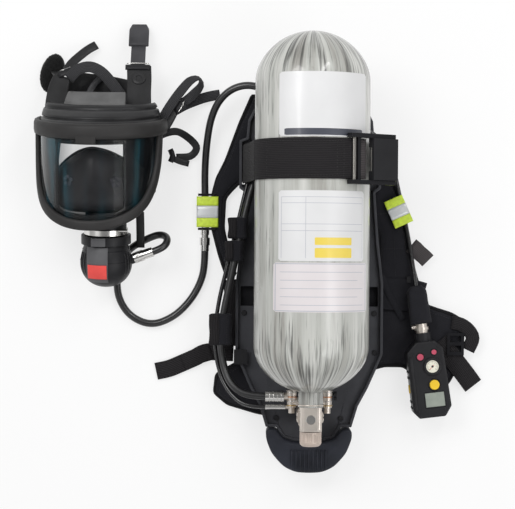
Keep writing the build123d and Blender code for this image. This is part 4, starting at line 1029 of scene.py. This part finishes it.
def on_unit(o):
    o.data.transform(UNIT)
    return o


def tick_marks(name, at, z, r0, r1, a0, a1, n, mat, width=0.35):
    verts, faces = [], []
    for i in range(n):
        t = math.radians(a0 + (a1 - a0) * i / (n - 1))
        long = 1.8 if i % 5 == 0 else 0.0
        d, s = Vector((math.sin(t), math.cos(t), 0)), Vector((math.cos(t), -math.sin(t), 0))
        c = Vector((at[0], at[1], z))
        k = len(verts)
        for r, w in ((r0 - long, width), (r1, width)):
            verts += [(c + d * r - s * w / 2) * MM, (c + d * r + s * w / 2) * MM]
        faces.append((k, k + 2, k + 3, k + 1))
    on_unit(piece(name, verts, faces, mat, slot="dial"))


def gauge_unit():
    """Looks, marks and fittings on the gauge unit."""
    cream = Look("dial_cream", (0.80, 0.78, 0.66), 0.4)
    cream.vary(150, 0.05)
    ink = plastic("dial_ink", (0.02, 0.02, 0.02), 0.5, 0.0)
    dress(cream.mat, "gauge_dial")
    glass = Look("display_glass", (0.30, 0.33, 0.29), 0.12, 0.0, Coat_Weight=0.5)
    glass.paint(glass.mix(glass.noise(120, 2), (0.25, 0.28, 0.25), (0.36, 0.39, 0.34)))
    dress(glass.mat, "gauge_display")
    top = FACE + 0.85
    tick_marks("dial_ticks", (DIAL_X, DIAL_Y), top, 6.6, 7.8, -135, 135, 31, ink, 0.28)
    on_unit(lathe("dial_needle", [(0, 0.1), (0, 1.6), (0.5, 1.5), (0.5, 0.1)], (DIAL_X, DIAL_Y, top),
        (0, 0, 1), ink, slot="dial", n=20))
    verts = [mm(DIAL_X + x, DIAL_Y + y, top + 0.2) for x, y in ((-0.5, -2.4), (0.5, -2.4), (0.15, 6.4),
        (-0.15, 6.4))]
    pointer = piece("dial_hand", verts, [(0, 1, 2, 3)], RED, slot="dial")
    pointer.data.transform(Matrix.Translation(mm(DIAL_X, DIAL_Y, 0)) @ Matrix.Rotation(2.3, 4, "Z")
        @ Matrix.Translation(mm(-DIAL_X, -DIAL_Y, 0)))
    on_unit(pointer)
    on_unit(torus("dial_bezel", (DIAL_X, DIAL_Y, FACE + 0.6), (0, 0, 1), 11.0, 2.2, BLACK_PLASTIC))
    rings = (("button_ring", 6.5, -8, 8.6), ("lamp_ring_0", -9, 33, 5.6), ("lamp_ring_1", 11, 38, 4.6))
    for name, x, y, r in rings:
        on_unit(torus(name, (x, y, FACE + 0.1), (0, 0, 1), r, 0.9, GLOSS_BLACK))
    frame_pts = [mm(x, y, FACE - 0.1) for x, y in ((-9.5, -40), (19.5, -40), (19.5, -18), (-9.5, -18))]
    dense = even(frame_pts, 0.002)
    on_unit(sweep("display_frame", dense, Vector((0, 0, 1)), flat_section(0.0016, 0.0014), GLOSS_BLACK,
        closed=True))
    for i, (x, y) in enumerate(((-19, 38), (17, 46), (-19, -44), (18, -44))):
        on_unit(lathe(f"unit_screw_{i}", [(-0.6, 0.1), (-0.6, 1.9), (0.5, 1.9), (0.9, 1.3), (0.6, 0.1)],
            (x, y, FACE), (0, 0, 1), BLACK_PLASTIC, n=16))
    for i in range(7):
        y = -38 + i * 8.5
        if abs(y + 12) < 11:
            continue  # the yellow side button sits here
        on_unit(strap(f"unit_rib_{i}", [(-27.9, y, 20), (-28.6, y, 31), (-27.9, y, 43)], (0, 1, 0), 3.2,
            1.4, RUBBER))
    ridge = [(-22.5, -44), (-22.5, 0), (-22.5, 34)]
    on_unit(strap("unit_ridge", [(x, y, FACE + 0.3) for x, y in ridge], (1, 0, 0), 5, 1.6, RUBBER))


def boot():
    """Fabric boot on the gauge hose, folded and tied."""
    end = mm(152, -44, 26)
    start = UNIT @ mm(-1, 79, 29.6)
    axis = (end - start).normalized()
    a = axis.cross(Vector((0, 0, 1))).normalized()
    b = a.cross(axis)
    verts, k, n = [], 36, 22
    span = (end - start).length
    for i in range(n + 1):
        t = i / n
        wide, deep = 15.0 - 1.2 * t, 9.6 - 0.8 * t
        if t > 0.88:
            wide, deep = wide - 52 * (t - 0.88), deep - 18 * (t - 0.88)
        for j in range(k):
            q = 2 * math.pi * j / k
            fold = 1 + 0.02 * math.sin(5 * q + 4 * t) + 0.015 * math.sin(19 * t + q)
            across = a * (wide * squared(math.cos(q), 0.55))
            out = b * (deep * squared(math.sin(q), 0.55))
            verts.append(start + axis * (span * t * 0.995) + (across + out) * (fold * MM))
    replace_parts(piece("gauge_boot", verts, tube(n + 1, k), FABRIC), "hose_cover")


# ================================================================ mask
# The mask's own frame. Its skins are arcs over the face, centred ARC_Z above the frame's origin.
ARC_Z = 10
MASK = (Matrix.Translation(mm(-295, 96, 25)) @ Matrix.Rotation(math.radians(10), 4, "X")
    @ Matrix.Rotation(math.radians(-8), 4, "Y"))


def arc_skin(name, profile, mat, t0=-96, t1=96, n=72):
    """A moulded rubber band round the face: profile of (y, half width, top height) in the mask's
    own frame, carried from one temple to the other."""
    verts = []
    for i in range(n + 1):
        t = math.radians(t0 + (t1 - t0) * i / n)
        verts += [MASK @ mm(a * math.sin(t), y, ARC_Z + (z - ARC_Z) * math.cos(t)) for y, a, z in profile]
    return piece(name, verts, tube(n + 1, len(profile)), mat, "mask")


def forehead():
    """The seal's moulded bands over the forehead and its inner ring."""
    profile = [(85, 84.5, 95.5), (88, 85.5, 97), (93, 85.5, 96), (97.5, 85, 91.5), (99.5, 84, 88),
        (100.2, 81.5, 84.5), (101.6, 81.5, 82.5), (102.6, 84, 84), (106, 83.6, 78.5), (110, 82.5, 71.5),
        (112, 81.5, 67), (112.6, 79, 63.5), (114, 79, 61.5), (115, 80.5, 62), (118.5, 79, 56),
        (121, 76.5, 50), (120, 73.5, 47), (112, 76, 58), (100, 79, 78), (92, 80, 88), (85, 80.5, 90)]
    arc_skin("forehead_bands", profile, SKIN)
    # The inner ring's pale grey rubber is a painted highlight.
    inner = [(118, 71, 53), (120, 73, 54.5), (128, 71, 46), (135, 68.5, 38), (136.5, 66.5, 34.5),
        (133, 64, 34), (118, 68, 48)]
    arc_skin("inner_ring", inner, INNER_PAINTED_HIGHLIGHT, -38, 36, 60)


# The visor's lower outline in the mask's own frame: half width and height, from the temple down.
RIM = [(88.5, 88), (88, 60), (86.5, 32), (82, 6), (73, -15), (58, -29), (38, -37.5), (19, -41),
    (0, -42)]


def seal_side(name, side):
    """Dark inner wall of the face seal, beside the nose cup."""
    verts, n, m = [], 22, 12
    for i in range(n + 1):
        t = math.radians(37 + 47 * i / n)
        x = 76 * math.sin(t)
        low = next(b[1] + (a[1] - b[1]) * (x - b[0]) / (a[0] - b[0]) for a, b in zip(RIM, RIM[1:])
            if b[0] <= x <= a[0]) + 1
        for j in range(m + 1):
            verts.append(MASK @ mm(x * side, low + (92 - low) * j / m, ARC_Z + 78 * math.cos(t)))
    thicken(piece(name, verts, grid(n + 1, m + 1, flip=True), RUBBER, "mask"), 0.002)


def frame_ring():
    """Moulded frame: a soft-cornered rim round the visor and a deep bar across its top."""
    outline = [Vector((x, y, 0)) for x, y in RIM] + [Vector((-x, y, 0)) for x, y in RIM[-2::-1]]
    pts, sides = [], []
    for p in spline(outline, 2.5):
        t = math.asin(max(min(p.x / 90, 0.995), -0.995))
        pts.append(MASK @ mm(88.8 * math.sin(t), p.y, ARC_Z + 90.8 * math.cos(t)))
        sides.append(MASK.to_3x3() @ Vector((math.sin(t), 0, math.cos(t))))
    section = [(3.8 * MM * squared(math.cos(q), 0.7), 7.0 * MM * squared(math.sin(q), 0.7)) for q
        in (2 * math.pi * i / 20 for i in range(20))]
    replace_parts(sweep("frame_rim", pts, sides, section, FRAME, "mask"), "visor_frame")
    bar = [(78, 88.5, 100.5), (77, 91, 104), (78.5, 93.6, 106.6), (84, 94.6, 107.4), (93, 94.4, 107),
        (97, 93, 105.4), (98.4, 90, 102), (97.5, 87, 98)]
    arc_skin("frame_bar", bar, FRAME, -94, 94, 90)
    tab = [(70.5, 91.2, 103.2), (70.5, 92.6, 105.4), (72, 93.8, 106.8), (82, 94.6, 107.4),
        (82, 91.2, 103.2)]
    sharpen(arc_skin("frame_tab", tab, FRAME, -8.5, 8.5, 10))


def face_skin():
    """The face seal below the forehead bands, with the CAD seal's own openings."""
    o = bpy.data.objects.new("face_seal", nodes["face_blank"].data.copy())
    scene.collection.objects.link(o)
    bm = bmesh.new()
    bm.from_mesh(o.data)
    bmesh.ops.remove_doubles(bm, verts=bm.verts, dist=1e-5)
    up = MASK.to_3x3() @ Vector((0, 1, 0))
    cut = bmesh.ops.bisect_plane(bm, geom=bm.verts[:] + bm.edges[:] + bm.faces[:], dist=1e-6,
        plane_co=MASK @ mm(0, 91, 0), plane_no=up, clear_outer=True)
    for v in bm.verts:
        q = MASK.inverted() @ v.co
        v.co = MASK @ Vector((q.x * 0.95, q.y * (0.93 if q.y < 0 else 1), q.z))
    bmesh.ops.holes_fill(bm, edges=[e for e in cut["geom_cut"] if isinstance(e, bmesh.types.BMEdge)],
        sides=0)
    bm.to_mesh(o.data)
    bm.free()
    o.data.materials.clear()
    o.data.materials.append(SKIN)
    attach(o, "mask")
    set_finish(o, "rubber")
    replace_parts(o, "face_blank")
    sharpen(o)


CUP_HALF, CUP_Z, CUP_DEPTH = 61, 12, 70  # half width, base height and depth of the nose cup, mm


def cup_wall(x):
    """How much of its depth the cup keeps at a distance x from the middle."""
    return math.sqrt(max(0.0, 1 - (abs(x) / CUP_HALF * 0.93) ** 2.6))


def cup():
    """Nose cup: a soft peaked form with a rolled edge and two inhale rosettes."""
    verts, n, m = [], 48, 26
    for i in range(n + 1):
        u = -1 + 2 * i / n
        x = CUP_HALF * u
        top = 61 - 36 * abs(u) ** 1.7
        low = -28 - 2 * abs(u) ** 2 + 14 * abs(u) ** 4
        for j in range(m + 1):
            v = j / m
            y = low + (top - low) * v
            edge = (1 - abs(2 * v - 1) ** 5)
            side = cup_wall(x)
            bridge = 5 * math.exp(-(u * 3.2) ** 2) * v
            z = CUP_Z + (CUP_DEPTH * side * (0.84 + 0.16 * edge) - 22 * v ** 2
                * (1 - 0.45 * math.exp(-(u * 2.5) ** 2)) + bridge)
            verts.append(MASK @ mm(x, y, max(z, -18)))
    o = piece("nose_cup_skin", verts, grid(n + 1, m + 1, flip=True), CUP, "mask")
    thicken(o, 0.0025)
    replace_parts(o, "nose_cup", "inhale_discs")
    rim = verts[m::m + 1]
    sweep("nose_cup_rim", rim, Vector((0, 0.3, 1)), circle(0.0022, 10), CUP, "mask")
    for s in (-1, 1):
        for i in range(5):
            t = math.radians(90 + 72 * i)
            x, y = 34 * s + 5.2 * math.cos(t), 16 + 5.2 * math.sin(t)
            at = MASK @ mm(x, y, CUP_Z + CUP_DEPTH * cup_wall(x) - 4.5)
            lathe(f"rosette_{hand(s)}{i}", [(0, 0.1), (0, 3.0), (1.2, 2.4), (1.6, 0.1)],
                in_mm(at), MASK.to_3x3() @ Vector((s * 0.35, 0, 1)), ROSETTE, "mask", n=16)


def head_straps():
    """Lugs, straps, keepers and buckles of the head harness."""
    lug = strap("right_lug", [(-241, 186, 72), (-242, 205, 66), (-243, 226, 58), (-243, 246, 50),
        (-244, 264, 42.5)], (1, 0, 0), 35, 4.0, SKIN, "mask")
    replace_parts(lug, "harness_straps")
    strap("left_lug", [(-357, 186, 62), (-359, 203, 57), (-359, 220, 51), (-357, 236, 45),
        (-353, 250, 40)], (1, 0, 0), 33, 4.0, SKIN, "mask", scale=lambda t: 1 - 0.25 * t * t)
    strap("inner_web", [(-346, 240, 34), (-330, 240, 20), (-305, 238, 13), (-280, 234, 18),
        (-258, 228, 36)], (0, 1, 0.2), 36, 2.4, SKIN, "mask")
    strap("inner_diagonal", [(-318, 222, 30), (-312, 236, 27), (-302, 248, 25), (-290, 256, 26)],
        (0.8, -0.5, 0), 9, 2.0, CUP, "mask")
    lathe("lug_boss", [(-1, 0.1), (-1, 10.5), (1.6, 9.6), (2.6, 7.5), (2.2, 4.2), (1.2, 3.6),
        (1.2, 0.1)], (-243.5, 247, 51.5), (0, 0.38, 0.92), SKIN, "mask")
    strap("top_strap", [(-246, 264.8, 41.6), (-246, 278, 34), (-246, 292, 26), (-246, 312, 12),
        (-246, 326, 5.5)], (1, 0, 0), 21, 2.5, KEEPER, "mask")
    buckle = [(-263, 263, 45.8), (-245, 263.5, 46.6), (-228, 263, 45.8)]
    strap("top_buckle_bar", buckle, (0, 0.85, -0.5), 8.5, 3.2, BLACK_PLASTIC, "mask")
    strap("top_buckle_wire", [(-261, 268.5, 44.4), (-245, 269, 44.6), (-230, 268.5, 44.4)],
        (0, 0.85, -0.5), 1.8, 1.6, STEEL, "mask")
    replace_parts(bpy.data.objects["top_buckle_bar"], "harness_buckles")
    strap("top_keeper", [(-246, 296, 25.5), (-246, 306, 20.5), (-246, 318, 13.5), (-246, 328, 8.5)],
        (1, 0, 0), 29, 4.4, KEEPER, "mask", scale=lambda t: 1 if t < 0.75 else 1 - 1.1 * (t - 0.75))
    for i in range(4):
        for j in range(4):
            y = 301 + 6.2 * j
            z = 24.9 - (y - 298) * 0.585
            lathe(f"dimple_{i}{j}", [(0, 0.1), (0, 1.5), (0.9, 1.1), (1.0, 0.1)], (-255 + 6 * i, y, z),
                (0, 0.5, 0.86), RUBBER, "mask", n=10)
    strap("small_strap", [(-347.5, 258.5, 36.6), (-341, 270, 28), (-330, 282, 19), (-319, 292, 11),
        (-308, 299, 6)], (0.8, -0.6, 0), 13, 2.5, SKIN, "mask")
    strap("small_buckle", [(-358, 252, 41.8), (-349, 255.5, 42.2), (-341, 259, 41.4)],
        (-0.3, 0.85, -0.4), 10, 3.0, BLACK_PLASTIC, "mask")
    strap("small_buckle_wire", [(-356, 258, 39.4), (-348.5, 260.5, 39.8), (-342, 263.5, 38.8)],
        (-0.3, 0.85, -0.4), 1.6, 1.5, STEEL, "mask")
    arch = webbing("braided_webbing", (0.028, 0.028, 0.030), 0.0021)
    strap("arch_strap", [(-343, 246, 44), (-330, 259, 47), (-313, 263, 48), (-297, 256, 47),
        (-282, 240, 46), (-268, 221, 48), (-260, 205, 54)], [(0.6, -0.8, 0), (0.4, -0.9, 0.1),
        (0, -1, 0.1), (-0.5, -0.85, 0.1), (-0.7, -0.7, 0), (-0.75, -0.65, 0), (-0.75, -0.6, 0)], 16,
        2.6, arch, "mask", "rubber")
    strap("pad_link", [(-359, 251.2, 37.7), (-364, 256, 25), (-366, 259, 13)], (1, 0, 0), 12, 2.4, SKIN,
        "mask")
    strap("temple_lug", [(-217, 168, 46), (-209, 180, 42), (-201, 195, 36), (-195, 209, 30)],
        (0.85, -0.5, 0.1), 19, 3.6, SKIN, "mask")
    strap("temple_strap", [(-200, 200, 34), (-190, 206, 28), (-176, 214, 18), (-158, 222, 10),
        (-143, 226.5, 7), (-130, 229, 5)], [(0.5, -0.8, 0.2), (0.45, -0.85, 0.3), (0.3, -0.9, 0.3),
        (0.1, -1, -0.1), (0.05, -1, 0), (0, -1, 0)], 15, 2.5, arch, "mask", "rubber")
    strap("temple_fold", [(-212, 188, 42), (-201, 207, 41), (-187, 228, 36), (-172, 246, 30),
        (-160, 250, 27), (-157, 240, 25), (-168, 226, 27), (-182, 214, 31)],
        [(0.8, -0.5, 0), (0.8, -0.55, 0), (0.75, -0.6, 0.1), (0.6, -0.6, 0.4), (0.3, -0.5, 0.8),
        (-0.6, -0.2, 0.7), (-0.7, 0.6, 0.3), (-0.7, 0.7, 0.1)], 14, 2.4, arch, "mask", "webbing")
    strap("temple_buckle", [(-194, 204, 33.5), (-186, 208.5, 34), (-178, 213, 32.5)], (0.45, -0.8, 0.1),
        17, 3.2, BLACK_PLASTIC, "mask")
    strap("temple_buckle_wire", [(-190, 199, 34.8), (-184, 207, 36), (-180, 217, 33.5)], (0.8, -0.5, 0),
        1.8, 1.6, STEEL, "mask")
    strap("lower_strap", [(-219, 163, 52), (-204, 171, 40), (-188, 173, 30), (-170, 162, 16),
        (-163, 151, 9), (-172, 140, 6.5), (-192, 138, 8)], [(0.2, 1, 0), (0.1, 1, 0), (-0.3, 1, 0),
        (0.8, 0.8, 0), (1, 0, 0), (0.5, -0.9, 0), (0, -1, 0)], 11, 2.5, SKIN, "mask")
    strap("side_buckle", [(-200.5, 149, 14), (-197, 140, 14.6), (-200, 131, 14)], (1, 0.1, 0), 8.5, 5.0,
        BLACK_PLASTIC, "mask")
    strap("side_tail", [(-196, 136, 11.5), (-186, 132, 9), (-174, 129, 6)], (0, 1, 0), 9, 2.4, SKIN,
        "mask")
    strap("neck_strap", [(-241, 58, 46), (-241, 40, 38), (-241, 22, 32.5), (-241, 8, 30)], (1, 0, 0),
        12, 2.5, SKIN, "mask")


def head_rest():
    """Soft oval pad with a dense pile."""
    verts, n, m = [], 64, 16
    turn = Matrix.Translation(mm(-371, 258, 0.6)) @ Matrix.Rotation(math.radians(-15), 4, "Z")
    for i in range(m + 1):
        p = math.pi * i / m
        for j in range(n):
            t = 2 * math.pi * j / n
            r = math.sin(p) ** 0.7 if 0 < i < m else 0.001
            z = 6.2 - 6.0 * squared(math.cos(p), 0.7)
            fluff = 1 + 0.045 * noise.noise(Vector((j * 0.9, i * 1.1, 3.0)))
            verts.append(turn @ mm(17 * r * math.cos(t) * fluff, 28.5 * r * math.sin(t) * fluff, z))
    felt = Look("felt", (0.006, 0.006, 0.006), 0.95, Sheen_Weight=0.3, Specular_IOR_Level=0.1)
    felt.vary(300, 0.5).bump(felt.noise(900, 5), 0.0012)
    o = piece("head_rest", verts, grid(m + 1, n, ring=True), felt.mat, "mask", "felt")
    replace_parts(o, "head_pad")


def mask_details():
    """Frame, seal walls and screws of the mask."""
    frame_ring()
    face_skin()
    seal_side("seal_left", -1)
    seal_side("seal_right", 1)
    for i, a in enumerate((math.radians(-52), math.radians(52))):
        at = MASK @ mm(92.6 * math.sin(a), 88, ARC_Z + 95.4 * math.cos(a))
        lathe(f"frame_screw_{i}", [(0, 0.1), (0, 2.6), (1.0, 2.3), (1.3, 0.1)], in_mm(at), MASK.to_3x3()
            @ Vector((math.sin(a), 0, math.cos(a))), DARK_STEEL, "mask", n=18)
    lathe("clamp_screw", [(-6, 0.1), (-6, 2.2), (6, 2.2), (6, 0.1)], (-262, 31, 84), (1, 0, 0), STEEL,
        "mask", n=16)


def valve_details():
    """Seams and grip ribs on the demand valve."""
    frame_dv = (Matrix.Translation(mm(-288, 36, 57)) @ Matrix.Rotation(math.radians(10), 4, "X"))
    axis = frame_dv.to_3x3() @ Vector((0, 1, 0))
    for i, (y, r) in enumerate(((-30, 33.3), (-45.5, 36.6))):
        torus(f"valve_seam_{i}", in_mm(frame_dv @ mm(0, y, 0)), axis, r, 0.5, GLOSS_BLACK)
    for s in (-1, 1):
        for i in range(3):
            t = math.radians((52 + 9 * i) * s)
            pts = [frame_dv @ mm(r * math.sin(t), y, r * math.cos(t)) for y,
                r in ((-33, 34.3), (-40, 36.2), (-48, 36.9), (-56, 36.2), (-64, 33.6))]
            strap(f"valve_rib_{hand(s)}{i}", [in_mm(p) for p in pts], frame_dv.to_3x3()
                @ Vector((math.cos(t), 0, -math.sin(t))), 2.0, 1.2, BLACK_PLASTIC)


pads()
bumper()
band()
harness()
patches()
sleeves()
labels()
fittings()
gauge_unit()
boot()
forehead()
cup()
head_straps()
head_rest()
mask_details()
valve_details()
